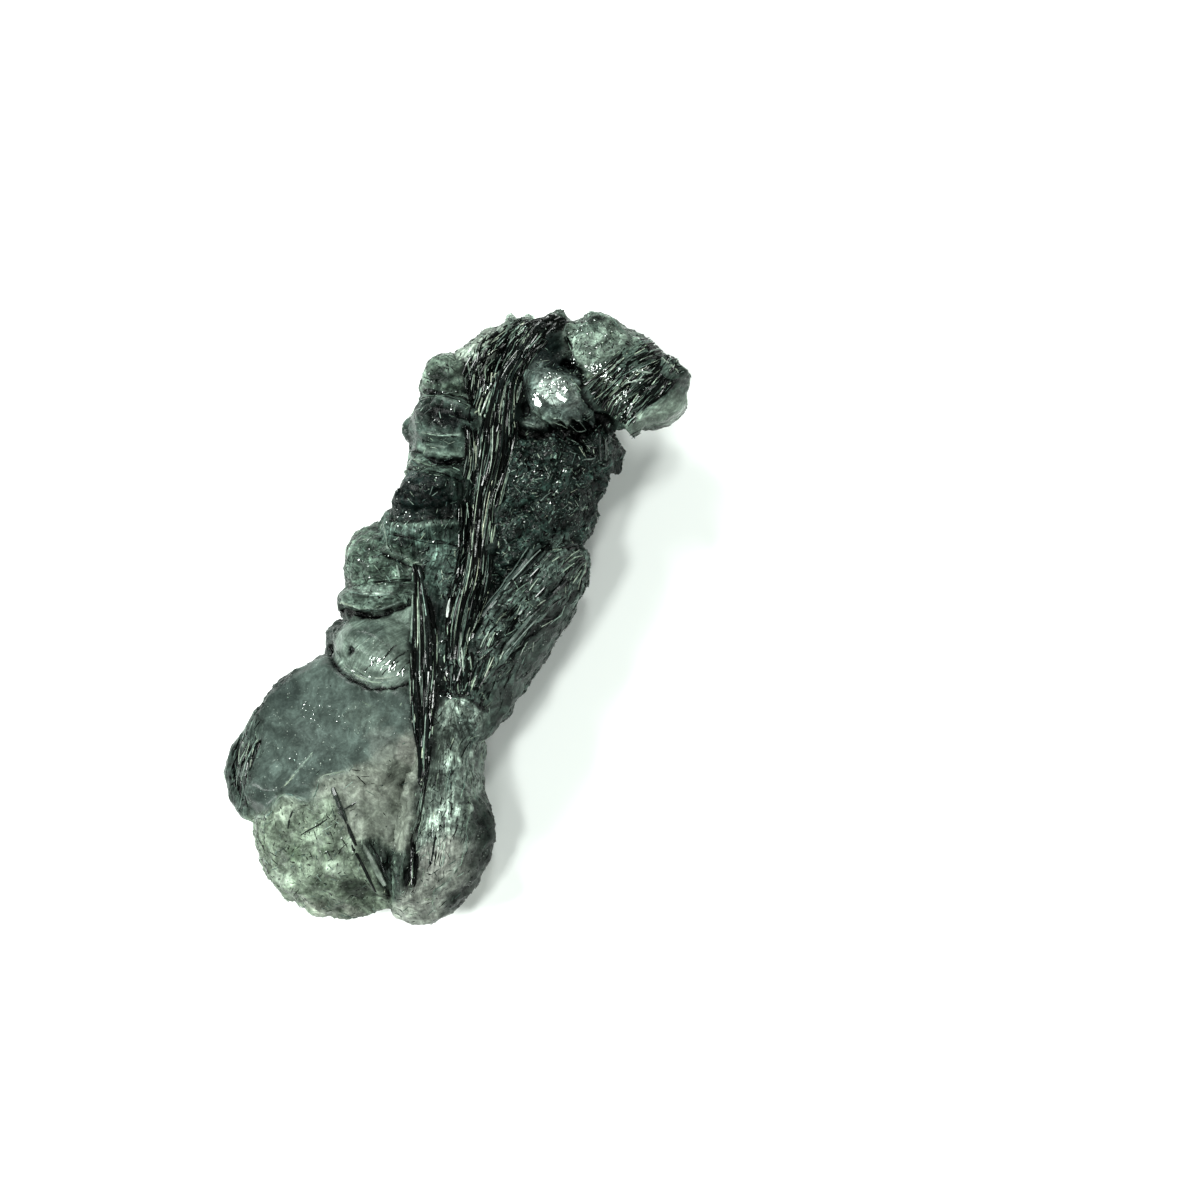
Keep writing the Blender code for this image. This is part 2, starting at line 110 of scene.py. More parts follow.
# What each crystal face looks like. Outline seen from above, colour as an sRGB triple, contrast of its mottling,
# height of its relief in mm, share of broken facets, roughness, share of streaks and their lie from +X in degrees.
Face = namedtuple("Face", "outline colour contrast relief facets gloss streaks lie")
FACES = {
    "plate": (
        ((-5.3, -4.4), (-6.3, -6.0), (-6.7, -7.7), (-6.6, -9.4), (-6.1, -10.6), (-6.0, -11.9), (-5.9, -14.0),
         (-4.6, -13.9), (-4.1, -12.6), (-2.5, -12.4), (-2.2, -11.0), (-1.0, -10.3), (0.3, -9.1), (1.3, -8.2),
         (1.5, -7.1), (1.3, -6.0), (0.9, -5.4), (-1.2, -5.8), (-3.0, -5.5), (-4.3, -4.7)),
        (80, 92, 87), 0.78, 0.02, 0.0, 0.24, 0.05, 50),
    "plate_rim": (
        ((-4.7, -4.2), (-6.3, -5.0), (-7.4, -6.6), (-8.2, -8.6), (-7.0, -9.0), (-6.7, -7.7), (-6.2, -6.2),
         (-5.2, -4.6)),
        (50, 60, 56), 1.0, 0.1, 0.5, 0.36, 0.4, 60),
    "middle": (
        ((-2.2, -11.0), (-1.0, -10.3), (0.3, -9.1), (1.3, -8.2), (1.5, -7.1), (2.1, -7.9), (3.0, -9.0), (3.6, -9.8),
         (3.7, -11.4), (3.9, -12.9), (3.2, -13.5), (1.7, -12.8), (1.0, -13.6), (-0.1, -13.2), (-0.9, -11.8),
         (-2.1, -12.0)),
        (134, 141, 130), 0.95, 0.08, 0.15, 0.3, 0.15, 115),
    "lobe": (
        ((-6.0, -14.1), (-4.6, -13.9), (-4.1, -12.6), (-2.5, -12.4), (-0.9, -11.8), (0.3, -13.2), (1.1, -13.6),
         (2.5, -14.9), (3.3, -15.8), (2.4, -16.5), (1.4, -17.2), (0.5, -17.5), (-0.5, -17.9), (-1.9, -17.9),
         (-3.2, -17.7), (-4.2, -16.5), (-5.4, -15.6)),
        (124, 138, 121), 1.3, 0.16, 0.3, 0.3, 0.2, 125),
    "lobe_edge": (
        ((1.1, -13.6), (1.7, -12.8), (3.2, -13.5), (3.9, -12.9), (4.6, -14.8), (4.2, -15.3), (3.2, -16.0),
         (2.5, -14.9)),
        (66, 78, 70), 1.2, 0.1, 0.3, 0.3, 0.9, 112),
    "ledge": (
        ((-6.8, -9.4), (-6.2, -10.6), (-6.1, -11.9), (-6.3, -13.5), (-6.0, -14.1), (-7.0, -14.6), (-8.0, -14.1),
         (-8.6, -13.2), (-9.1, -11.7), (-9.2, -10.5), (-8.1, -8.9)),
        (66, 78, 72), 1.2, 0.05, 0.1, 0.3, 0.9, 102),
    "heel_top": (
        ((2.8, -5.7), (3.7, -4.8), (4.7, -4.9), (4.8, -5.4), (4.5, -6.8), (5.1, -8.5), (5.9, -9.7), (6.3, -11.5),
         (5.2, -11.5), (4.5, -12.7), (3.9, -12.3), (3.6, -10.1), (3.6, -8.8), (3.4, -7.2)),
        (128, 142, 132), 1.7, 0.1, 0.35, 0.28, 0.8, 105),
    "heel": (
        ((4.5, -12.7), (5.3, -11.8), (6.3, -11.5), (6.5, -12.8), (6.2, -13.8), (5.7, -14.8), (5.5, -16.1), (4.3, -16.8),
         (3.2, -16.5), (4.5, -15.3), (4.5, -14.6)),
        (150, 155, 146), 1.2, 0.06, 0.2, 0.32, 0.5, 100),
    "heel_side": (
        ((5.2, -8.6), (5.8, -9.1), (6.8, -9.9), (7.2, -11.1), (7.2, -12.6), (6.8, -13.7), (6.3, -15.1), (5.6, -15.9),
         (5.7, -14.8), (6.3, -13.8), (6.6, -12.8), (6.6, -11.5), (6.2, -10.3)),
        (44, 53, 48), 1.0, 0.14, 0.5, 0.3, 0.4, 80),
    "lens": (
        ((-4.9, -4.3), (-3.6, -2.9), (-2.8, -1.9), (-0.7, -0.7), (0.7, -4.5), (-0.2, -5.1), (-1.3, -5.5), (-3.1, -5.3)),
        (113, 128, 118), 0.9, 0.03, 0.05, 0.14, 0.5, 60),
    "lens_rim": (
        ((-5.3, -4.3), (-5.6, -2.4), (-4.1, -2.1), (-4.3, -3.8), (-4.0, -4.9), (-2.8, -5.4), (-1.2, -5.6), (-1.2, -5.9),
         (-2.8, -5.9)),
        (56, 68, 62), 1.0, 0.1, 0.5, 0.26, 0.2, 30),
    "lump_a": (
        ((-5.4, -1.9), (-4.8, -1.0), (-2.8, -0.2), (-1.1, 0.5), (-0.8, -0.6), (-2.3, -2.0), (-4.0, -2.2)),
        (94, 110, 100), 1.9, 0.08, 0.3, 0.26, 0.4, 20),
    "lump_b": (
        ((-5.3, 3.1), (-6.2, 1.9), (-6.2, 1.0), (-5.8, -0.6), (-5.0, -1.0), (-2.8, -0.1), (-1.2, 0.6), (-1.6, 1.6),
         (-3.4, 2.0)),
        (90, 108, 96), 1.9, 0.1, 0.4, 0.26, 0.3, 20),
    "lump_c": (
        ((-4.8, 3.1), (-3.4, 2.1), (-1.8, 1.9), (-0.4, 1.0), (1.2, -0.2), (1.0, 1.8), (0.2, 4.2), (-1.2, 3.5),
         (-3.2, 3.0)),
        (66, 82, 75), 1.8, 0.1, 0.4, 0.26, 0.8, 100),
    "lump_d": (
        ((-4.2, 5.2), (-3.8, 3.9), (-2.8, 3.6), (-1.0, 4.3), (0.1, 4.9), (-0.1, 5.9), (-1.3, 6.2), (-3.5, 6.1)),
        (24, 38, 36), 1.6, 0.12, 0.6, 0.22, 0.2, 10),
    "lump_e": (
        ((-4.9, 7.2), (-4.6, 6.0), (-3.5, 6.2), (-1.4, 6.3), (-0.3, 6.6), (-0.9, 7.8), (-2.1, 7.1), (-3.7, 7.3)),
        (84, 100, 91), 1.6, 0.08, 0.3, 0.26, 0.4, 20),
    "lump_f": (
        ((-5.0, 9.8), (-4.9, 8.8), (-3.9, 7.4), (-2.1, 7.1), (-0.8, 8.2), (-0.3, 9.1), (-0.7, 10.1), (-1.7, 10.6),
         (-3.5, 10.6)),
        (74, 89, 82), 1.5, 0.07, 0.2, 0.24, 0.2, 10),
    "lump_g": (
        ((-5.6, 10.7), (-5.4, 11.5), (-4.9, 12.4), (-3.8, 12.8), (-2.8, 12.5), (-2.2, 11.6), (-2.2, 10.9),
         (-3.5, 10.6)),
        (112, 130, 116), 1.7, 0.1, 0.4, 0.24, 0.2, 60),
    "lump_h": (
        ((-4.3, 12.9), (-3.5, 13.7), (-2.8, 14.9), (-1.8, 15.5), (-1.2, 15.0), (-2.0, 13.6), (-2.3, 12.4), (-1.8, 11.2),
         (-2.2, 11.2), (-3.0, 12.6)),
        (156, 168, 156), 1.4, 0.12, 0.4, 0.26, 0.6, 60),
    "crest": (
        ((-2.3, 15.3), (-1.2, 15.8), (0.0, 16.4), (1.4, 16.6), (1.6, 15.9), (0.2, 14.9), (-0.6, 14.9), (-1.8, 15.3)),
        (78, 94, 84), 1.1, 0.12, 0.5, 0.26, 0.7, 40),
    "under_needles": (
        ((1.7, 16.1), (1.0, 13.9), (1.1, 12.0), (1.5, 10.1), (2.1, 7.9), (2.7, 5.8), (3.1, 3.6), (3.1, 1.4),
         (3.3, -2.5), (2.8, -2.7), (1.8, 0.9), (1.2, 3.1), (0.5, 5.2), (-0.1, 7.3), (-0.8, 9.4), (-1.0, 11.4),
         (-0.7, 13.8), (0.2, 15.0)),
        (26, 36, 33), 1.0, 0.06, 0.3, 0.24, 1.0, 105),
    "under_lower": (
        ((-1.6, 1.3), (-1.1, 0.4), (-0.3, -1.9), (0.5, -4.1), (1.3, -6.0), (2.0, -7.3), (2.8, -8.4), (3.2, -9.6),
         (3.5, -11.4), (3.8, -12.6), (4.4, -14.4), (4.7, -14.8), (4.2, -12.8), (3.9, -11.4), (3.8, -9.6), (3.6, -8.8),
         (3.4, -7.4), (2.8, -5.8), (2.3, -3.6), (1.3, -1.3), (-0.3, 0.6)),
        (14, 21, 20), 0.8, 0.06, 0.2, 0.24, 1.0, 105),
    "columns": (
        ((-0.6, 1.9), (0.2, 2.7), (1.0, 3.2), (1.7, 1.4), (2.4, -1.2), (3.2, -2.8), (4.4, -2.4), (4.7, -4.4),
         (3.3, -4.4), (2.4, -2.8), (0.9, -0.2)),
        (70, 86, 79), 1.5, 0.14, 0.8, 0.24, 0.7, 105),
    "shoulder": (
        ((2.0, 8.7), (1.5, 9.8), (4.0, 10.2), (5.6, 11.4), (6.2, 11.4), (7.0, 9.9), (6.9, 8.8), (6.4, 7.8), (6.7, 7.1),
         (6.6, 5.9), (5.4, 4.9), (4.6, 3.4), (3.0, 1.5), (2.8, 3.8), (2.7, 6.0)),
        (36, 52, 47), 2.1, 0.13, 0.8, 0.2, 0.3, 70),
    "flank": (
        ((5.0, 4.7), (5.9, 5.6), (6.9, 5.3), (7.3, 4.7), (7.2, 3.6), (6.7, 2.0), (6.0, 0.0), (5.5, -2.1), (5.1, -3.2),
         (4.8, -3.3), (3.9, -1.3), (3.6, 0.4), (4.2, 2.6)),
        (82, 97, 90), 1.8, 0.12, 0.5, 0.24, 0.7, 68),
    "flank_side": (
        ((7.3, 4.4), (7.6, 2.7), (7.2, 0.2), (6.7, -1.5), (6.0, -4.2), (5.6, -6.0), (5.2, -8.5), (4.6, -6.5),
         (4.9, -4.9), (5.2, -3.4), (5.7, -2.1), (6.2, 0.2), (6.9, 2.4)),
        (60, 72, 66), 1.4, 0.08, 0.4, 0.28, 0.6, 68),
    "dome": (
        ((0.8, 12.2), (1.1, 13.4), (1.8, 14.2), (3.8, 13.8), (4.7, 12.6), (5.0, 11.3), (3.9, 10.7), (2.9, 10.4),
         (1.6, 10.4), (1.1, 11.0)),
        (90, 103, 98), 1.9, 0.09, 0.5, 0.2, 0.1, 20),
    "dome_back": (
        ((0.7, 12.4), (0.5, 13.6), (1.2, 14.9), (2.3, 15.6), (2.4, 15.0), (3.8, 13.9), (1.8, 14.3), (1.0, 13.4)),
        (30, 42, 40), 1.0, 0.1, 0.5, 0.22, 0.5, 40),
    "cap_green": (
        ((2.3, 15.1), (2.2, 16.3), (3.2, 17.5), (4.6, 17.5), (6.3, 17.2), (5.4, 15.1), (4.0, 13.4), (3.2, 14.3)),
        (122, 138, 126), 1.8, 0.12, 0.6, 0.2, 0.2, 30),
    "cap_ribs": (
        ((4.0, 13.4), (5.4, 15.1), (6.3, 17.2), (8.2, 16.4), (9.5, 15.8), (9.0, 14.6), (8.2, 13.3), (7.2, 12.0),
         (5.7, 12.0), (4.9, 12.2)),
        (68, 83, 75), 1.3, 0.08, 0.4, 0.22, 1.0, 64),
    "cap_lip": (
        ((7.2, 12.1), (8.2, 13.3), (8.9, 14.8), (9.3, 14.7), (9.4, 14.0), (8.8, 13.1), (7.8, 12.4)),
        (142, 158, 145), 1.1, 0.04, 0.15, 0.26, 0.8, 64),
    "stem_left": (
        ((-2.0, 4.2), (-0.6, 7.0), (-1.0, 10.0), (-1.5, 11.4), (-0.4, 12.0), (-0.4, 9.4), (0.3, 7.2), (0.9, 5.0),
         (0.6, 4.2)),
        (44, 58, 52), 1.2, 0.1, 0.6, 0.24, 0.9, 105),
}
FACES = {name: Face(*face) for name, face in FACES.items()}

# Lines on the faces: points seen from above, width in mm, how deep they go (raised if below zero), sRGB colour
# and strength. Those no wider than a hair are too fine for the skin, so they are also grown as thin bodies.
# Dark lines cut into the crevices between crystals are painted shade.
DARK = (4, 9, 8)
PALE = (176, 192, 180)
HAIR = 0.14
LINES = (
    # Painted shadow under the lens's lower rim.
    (((-5.1, -4.1), (-4.2, -4.9), (-3.0, -5.5), (-1.2, -5.7), (-0.1, -5.3), (0.7, -4.7)), 0.14, 0.16, DARK, 1.0),
    (((-4.2, -4.5), (-3.0, -5.15), (-1.4, -5.35), (-0.3, -5.0)), 0.08, -0.03, PALE, 0.6),
    # Painted shade in the crevice under the lump above the lens.
    (((-5.0, -2.4), (-4.0, -2.3), (-2.4, -2.0), (-0.8, -0.7)), 0.14, 0.24, DARK, 1.0),
    (((-4.6, -1.9), (-3.4, -1.9), (-2.3, -1.6), (-1.2, -0.7)), 0.08, -0.05, PALE, 0.6),
    (((-3.9, -1.3), (-2.8, -1.1), (-1.7, -0.6)), 0.08, -0.04, PALE, 0.7),
    (((-5.1, -1.0), (-3.9, -0.7), (-2.7, -0.15), (-1.2, 0.5)), 0.12, 0.16, DARK, 0.9),
    (((-3.1, 1.6), (-2.3, 1.5), (-1.4, 1.4), (-1.0, 1.5)), 0.08, -0.06, PALE, 0.8),
    (((-3.1, 1.3), (-2.2, 1.2), (-1.2, 1.1)), 0.14, 0.1, DARK, 0.8),
    (((-6.1, 1.9), (-6.1, 0.7), (-5.6, -0.2)), 0.22, -0.02, PALE, 0.4),
    (((-1.0, 1.5), (-0.5, -0.2), (-1.1, -1.0)), 0.12, 0.1, DARK, 0.9),
    (((-3.6, 3.3), (-2.6, 3.3), (-1.2, 3.9), (0.1, 4.7)), 0.16, 0.14, DARK, 0.9),
    (((-3.4, 3.0), (-1.4, 3.5), (0.1, 4.3)), 0.22, -0.04, (124, 142, 130), 0.5),
    (((-3.4, 2.5), (-1.4, 2.7), (0.4, 3.2)), 0.08, 0.1, DARK, 0.8),
    (((-0.9, 10.3), (-0.3, 9.5), (-0.5, 8.5), (-1.1, 7.9), (-2.1, 7.4), (-3.6, 7.5)), 0.3, -0.1, (118, 136, 124), 0.6),
    (((-0.7, 10.0), (-0.25, 9.2), (-0.6, 8.4)), 0.07, -0.04, PALE, 0.7),
    (((-3.2, 8.1), (-2.2, 8.2), (-1.2, 8.6)), 0.06, -0.04, PALE, 0.5),
    (((-2.9, 7.7), (-1.9, 7.8)), 0.05, -0.03, PALE, 0.5),
    (((-4.4, 7.4), (-3.7, 7.25), (-2.2, 6.95), (-1.2, 7.5), (-0.6, 7.9)), 0.13, 0.16, DARK, 0.9),
    (((-4.2, 6.3), (-3.4, 6.2), (-1.4, 6.3), (-0.3, 6.3)), 0.12, 0.1, DARK, 0.8),
    (((-4.2, 6.9), (-3.2, 6.7), (-2.0, 6.7)), 0.06, -0.04, PALE, 0.6),
    (((-5.2, 10.5), (-3.5, 10.6), (-2.2, 10.8), (-1.6, 10.7)), 0.14, 0.18, DARK, 0.9),
    (((-4.4, 10.1), (-3.3, 10.35), (-2.2, 10.35), (-1.4, 10.3)), 0.14, -0.08, (118, 136, 124), 0.6),
    (((-4.7, 12.2), (-3.8, 12.6), (-2.8, 12.4)), 0.24, -0.05, (112, 130, 116), 0.6),
    (((-2.8, 12.7), (-2.2, 11.7), (-2.1, 11.0)), 0.12, 0.12, DARK, 0.8),
    (((-2.5, 13.2), (-1.9, 12.2), (-1.7, 11.3)), 0.1, -0.05, PALE, 0.5),
    # Painted shade in the deep crevice under the dome.
    (((1.3, 9.9), (2.6, 10.15), (3.8, 10.45), (5.1, 11.1), (5.7, 12.0)), 0.5, 0.4, DARK, 1.0),
    (((1.5, 10.5), (2.9, 10.65), (4.2, 10.95), (4.8, 11.3)), 0.09, -0.03, PALE, 0.6),
    (((2.4, 15.4), (3.0, 14.5), (3.8, 13.8), (4.3, 13.1), (4.7, 12.6), (5.4, 12.1)), 0.18, 0.24, DARK, 0.95),
    (((2.2, 16.1), (2.35, 15.3), (2.9, 14.7), (3.7, 14.2)), 0.12, -0.08, PALE, 0.7),
    (((2.5, 16.7), (3.2, 17.2), (4.5, 17.0), (6.6, 16.4), (7.9, 15.8), (8.9, 15.4)), 0.1, -0.03, PALE, 0.4),
    (((2.8, -5.7), (3.1, -5.0), (3.7, -4.8), (4.6, -4.9), (4.8, -5.4), (4.5, -6.8), (5.0, -8.3), (5.4, -9.2)), 0.08,
     -0.05, PALE, 0.7),
    (((5.0, -8.3), (5.8, -9.6), (6.2, -11.0), (6.4, -12.2), (6.1, -13.6), (5.6, -14.6), (5.5, -15.4)), 0.09, -0.04,
     PALE, 0.6),
    (((2.4, -4.5), (2.9, -4.65), (4.1, -4.45), (4.8, -4.7)), 0.2, 0.2, DARK, 0.9),
    (((3.7, -10.4), (3.95, -11.4), (4.15, -12.4)), 0.1, -0.04, PALE, 0.5),
    (((-5.9, -14.1), (-4.6, -13.9), (-4.15, -12.6), (-3.3, -12.4), (-2.5, -12.45)), 0.1, -0.06, PALE, 0.6),
    (((-2.3, -12.1), (-2.15, -11.0), (-1.5, -10.5), (-0.9, -10.2)), 0.12, -0.03, PALE, 0.3),
    (((-4.1, -12.1), (-3.2, -9.9)), 0.06, 0.02, PALE, 0.7),
    (((-6.5, -10.2), (-6.5, -12.0), (-6.7, -13.7)), 0.1, 0.1, DARK, 0.95),
    (((-6.8, -10.4), (-7.4, -13.1)), 0.07, 0.08, DARK, 0.9),
    (((-7.2, -10.6), (-7.9, -12.9)), 0.07, 0.08, DARK, 0.9),
    (((-7.5, -9.8), (-8.2, -12.0)), 0.05, 0.06, DARK, 0.8),
    (((-6.65, -10.2), (-7.0, -13.0)), 0.04, 0.0, PALE, 0.5),
    (((-7.0, -10.2), (-7.6, -12.6)), 0.04, 0.0, PALE, 0.4),
    (((6.7, 3.4), (5.9, 0.8), (5.0, -1.9)), 0.13, 0.16, DARK, 0.9),
    (((7.0, 3.4), (6.5, 1.2), (5.7, -1.2), (5.0, -3.0)), 0.1, 0.12, DARK, 0.8),
    (((5.2, 4.6), (4.4, 2.2), (3.8, 0.2)), 0.14, 0.16, DARK, 0.9),
    (((5.8, 5.2), (5.2, 3.2), (4.5, 1.0)), 0.1, 0.1, DARK, 0.8),
    (((2.5, -0.6), (3.0, -1.8), (3.8, -3.2)), 0.2, 0.14, DARK, 0.8),
    (((-0.8, -4.1), (-0.4, -3.1)), 0.07, 0.05, DARK, 0.9),
    (((-0.4, -4.2), (0.1, -3.2)), 0.06, 0.05, DARK, 0.9),
    (((-0.8, -4.8), (-0.1, -3.9)), 0.06, 0.05, DARK, 0.9),
    (((-0.1, -4.6), (0.4, -3.6)), 0.06, 0.05, DARK, 0.9),
    (((-1.8, -4.9), (-1.2, -4.3)), 0.05, 0.04, DARK, 0.8),
    (((-2.5, -4.1), (-1.8, -3.2)), 0.05, 0.0, PALE, 0.5),
    (((-2.6, -4.9), (-1.2, -5.1), (0.0, -4.6)), 0.08, -0.02, PALE, 0.5),
)

# Soft patches: middle, reach along X and Y, sRGB colour, strength, how far the surface is sunk there.
# Some patches are painted light or shade, as marked.
PATCHES = (
    ((-2.9, -4.2), (0.26, 0.24), DARK, 1.0, 0.14),
    # Painted reflection: the bright streak on the lens's right side.
    ((-0.7, -4.3), (0.9, 0.55), (178, 196, 184), 0.6, 0.0),
    ((-2.2, -2.9), (1.0, 0.7), (58, 70, 66), 0.6, 0.0),
    ((-1.6, 4.9), (1.6, 0.55), (8, 17, 16), 0.85, 0.1),
    ((-2.4, 9.3), (1.5, 0.8), (5, 11, 10), 1.0, 0.3),
    ((-3.6, 11.4), (0.8, 0.45), (18, 28, 23), 0.85, 0.14),
    ((1.9, 13.9), (0.8, 0.4), (28, 40, 40), 0.8, 0.0),
    # Lighter crystal with a painted sheen on the top of the dome.
    ((3.4, 12.2), (1.1, 0.8), (176, 188, 180), 0.45, 0.0),
    ((2.0, 12.4), (0.6, 0.5), (44, 56, 52), 0.6, 0.0),
    ((3.1, 10.9), (1.3, 0.25), (108, 124, 114), 0.6, 0.0),
    # Painted shade in the crevice under the dome.
    ((3.6, 10.2), (2.0, 0.26), DARK, 0.9, 0.1),
    ((5.3, 13.6), (0.9, 0.6), (158, 174, 150), 0.5, 0.0),
    ((3.2, 16.4), (0.8, 0.6), (70, 88, 80), 0.5, 0.0),
    ((-3.5, -13.2), (0.6, 0.7), (172, 186, 168), 0.6, -0.05),
    ((-1.4, -14.0), (0.7, 0.4), (158, 174, 156), 0.5, 0.0),
    ((-2.9, -16.6), (0.7, 0.4), (162, 176, 160), 0.5, 0.0),
    ((0.3, -15.2), (0.6, 0.4), (160, 174, 158), 0.5, 0.0),
    ((-0.6, -17.4), (1.0, 0.3), (176, 182, 168), 0.6, 0.0),
    ((1.4, -17.0), (0.9, 0.3), (176, 180, 168), 0.6, 0.0),
    ((1.5, -15.8), (0.8, 0.45), (26, 36, 30), 0.7, 0.05),
    ((-0.4, -16.3), (0.6, 0.35), (52, 68, 50), 0.6, 0.05),
    ((-0.6, -14.6), (0.5, 0.35), (66, 82, 64), 0.6, 0.04),
    ((-2.3, -15.2), (0.4, 0.5), (62, 80, 58), 0.6, 0.04),
    ((-4.4, -15.2), (0.3, 0.8), (84, 100, 78), 0.5, 0.0),
    ((0.7, -10.4), (1.2, 0.8), (140, 144, 134), 0.5, 0.0),
    ((2.6, -10.0), (0.4, 0.9), (128, 134, 124), 0.6, -0.3),
    ((2.4, -12.0), (0.4, 0.9), (118, 125, 115), 0.5, -0.2),
    ((0.6, -8.2), (1.0, 0.9), (112, 118, 112), 0.5, 0.0),
    ((1.9, -8.2), (0.5, 0.7), (152, 152, 144), 0.5, 0.0),
    ((2.0, -14.2), (0.9, 0.5), (46, 56, 50), 0.6, 0.0),
    ((4.2, -13.9), (0.22, 1.1), (12, 18, 16), 0.9, 0.14),
    ((-6.0, -7.4), (0.9, 0.8), (60, 70, 68), 0.5, 0.0),
    ((-3.6, -9.2), (1.4, 0.8), (84, 94, 90), 0.4, 0.0),
    ((-0.9, -7.2), (1.2, 0.8), (98, 110, 102), 0.4, 0.0),
    ((4.3, -6.0), (0.5, 0.7), (82, 96, 92), 0.5, 0.0),
    ((4.4, -8.6), (0.5, 0.8), (62, 74, 69), 0.5, 0.0),
    ((5.3, -12.9), (0.7, 0.9), (176, 178, 170), 0.5, 0.0),
    ((4.4, -16.1), (0.8, 0.4), (168, 178, 164), 0.5, 0.0),
    ((-5.9, 0.9), (0.5, 1.0), (150, 172, 150), 0.5, 0.0),
    ((1.3, 15.8), (1.0, 0.4), (34, 32, 30), 0.9, 0.0),
)

# Places where the painted shade of hollows is lifted: middle and reach.
SHADE_LIFTED = (
    ((2.6, -10.8), (1.3, 2.3)),
)

# Needles in bundles: their left edge and right edge seen from above, how many, thinnest and thickest radius,
# how they stand over the crystals, the share of pale ones, and the shortest and longest part of the way they run.
# Pale needles are pale fibres that also stand for painted highlights along the dark needles.
NEEDLES = {
    "needles_main": (
        ((0.1, 15.6), (-0.2, 14.6), (-0.6, 13.6), (-0.9, 12.4), (-0.9, 11.2), (-0.8, 9.6), (-0.3, 7.6), (0.3, 5.5),
         (0.8, 3.6), (1.4, 1.5), (1.7, -0.7), (2.4, -2.8)),
        ((2.2, 16.3), (1.7, 15.0), (1.1, 14.0), (0.9, 13.0), (1.0, 12.0), (1.4, 10.3), (2.1, 8.1), (2.4, 5.9),
         (2.7, 3.8), (2.9, 1.8), (3.0, -0.1), (3.3, -2.8)),
        760, (0.03, 0.06), 0.18, 0.31, (0.05, 0.3)),
    "needles_lower": (
        ((-1.6, 1.3), (-1.1, 0.4), (-0.3, -1.9), (0.5, -4.1), (1.3, -6.0), (2.0, -7.3), (2.8, -8.4), (3.3, -9.6)),
        ((-1.2, 1.5), (-0.2, 0.5), (1.2, -1.5), (2.1, -3.6), (2.6, -5.8), (3.2, -7.4), (3.5, -8.8), (3.6, -9.6)),
        190, (0.035, 0.075), 0.12, 0.26, (0.12, 0.5)),
    "needles_seam": (
        ((3.25, -9.0), (3.5, -10.1), (3.7, -11.4), (3.8, -12.6), (4.5, -14.7)),
        ((3.5, -9.0), (3.75, -10.1), (3.95, -11.4), (4.1, -12.6), (4.8, -14.8)),
        26, (0.03, 0.06), 0.03, 0.15, (0.15, 0.5)),
    "needles_left": (
        ((-3.2, 13.8), (-2.6, 12.4), (-1.9, 11.2), (-1.3, 9.4), (-0.7, 7.4), (-0.2, 5.2), (0.4, 3.0), (1.0, 1.0)),
        ((-0.4, 15.4), (-0.9, 13.0), (-0.9, 11.2), (-0.6, 9.4), (0.1, 7.3), (0.7, 5.2), (1.4, 3.1), (1.9, 0.9)),
        280, (0.03, 0.055), 0.08, 0.3, (0.05, 0.26)),
    "needles_columns": (
        ((0.6, 3.0), (1.0, 1.0), (1.5, -1.2), (2.3, -3.2), (2.8, -4.5)),
        ((2.2, 3.0), (2.8, 0.8), (3.3, -1.2), (4.0, -3.0), (4.4, -4.4)),
        130, (0.035, 0.085), 0.08, 0.42, (0.08, 0.4)),
    "needles_cap": (
        ((4.2, 12.8), (4.9, 14.2), (5.6, 15.6), (6.2, 17.1)),
        ((7.1, 12.0), (7.8, 13.2), (8.6, 14.5), (9.2, 15.6)),
        300, (0.03, 0.06), 0.05, 0.42, (0.25, 0.85)),
    "needles_flank": (
        ((6.2, 5.4), (5.2, 3.4), (4.3, 0.8), (3.8, -1.4), (3.9, -4.0)),
        ((7.2, 4.4), (6.8, 1.8), (6.1, -0.6), (5.5, -2.6), (5.0, -4.8)),
        150, (0.03, 0.07), 0.02, 0.42, (0.05, 0.22)),
    "needles_crest": (
        ((-0.1, 15.9), (-1.0, 15.1), (-1.7, 14.2), (-2.3, 13.2), (-2.6, 11.9), (-1.6, 10.4)),
        ((1.4, 16.2), (0.8, 15.2), (0.0, 14.3), (-0.6, 13.0), (-0.9, 11.9), (-0.8, 10.4)),
        300, (0.03, 0.06), 0.1, 0.38, (0.06, 0.34)),
    "needles_tip": (
        ((0.0, 15.5), (0.6, 15.8), (1.2, 16.4)),
        ((1.3, 15.0), (1.8, 15.6), (2.2, 16.3)),
        50, (0.06, 0.12), 0.2, 0.05, (0.3, 0.8)),
    # Painted glints: a few all-pale needles where light flashes off the main bundle.
    "needles_bright": (
        ((-1.6, 12.8), (-1.4, 11.6), (-1.0, 10.0)),
        ((-0.1, 12.8), (0.1, 11.6), (0.2, 10.0)),
        26, (0.07, 0.1), 0.3, 1.0, (0.1, 0.4)),
    "needles_ledge": (
        ((-8.4, -9.8), (-8.5, -11.0), (-8.2, -12.6)),
        ((-6.5, -10.0), (-6.4, -11.9), (-6.6, -13.7)),
        46, (0.03, 0.06), 0.01, 0.35, (0.15, 0.6)),
    "needles_heel": (
        ((3.6, -6.6), (3.9, -9.0), (4.4, -11.0), (5.0, -13.4)),
        ((4.5, -6.4), (4.9, -9.0), (5.5, -11.2), (5.8, -13.4)),
        40, (0.025, 0.045), 0.01, 0.7, (0.08, 0.3)),
}

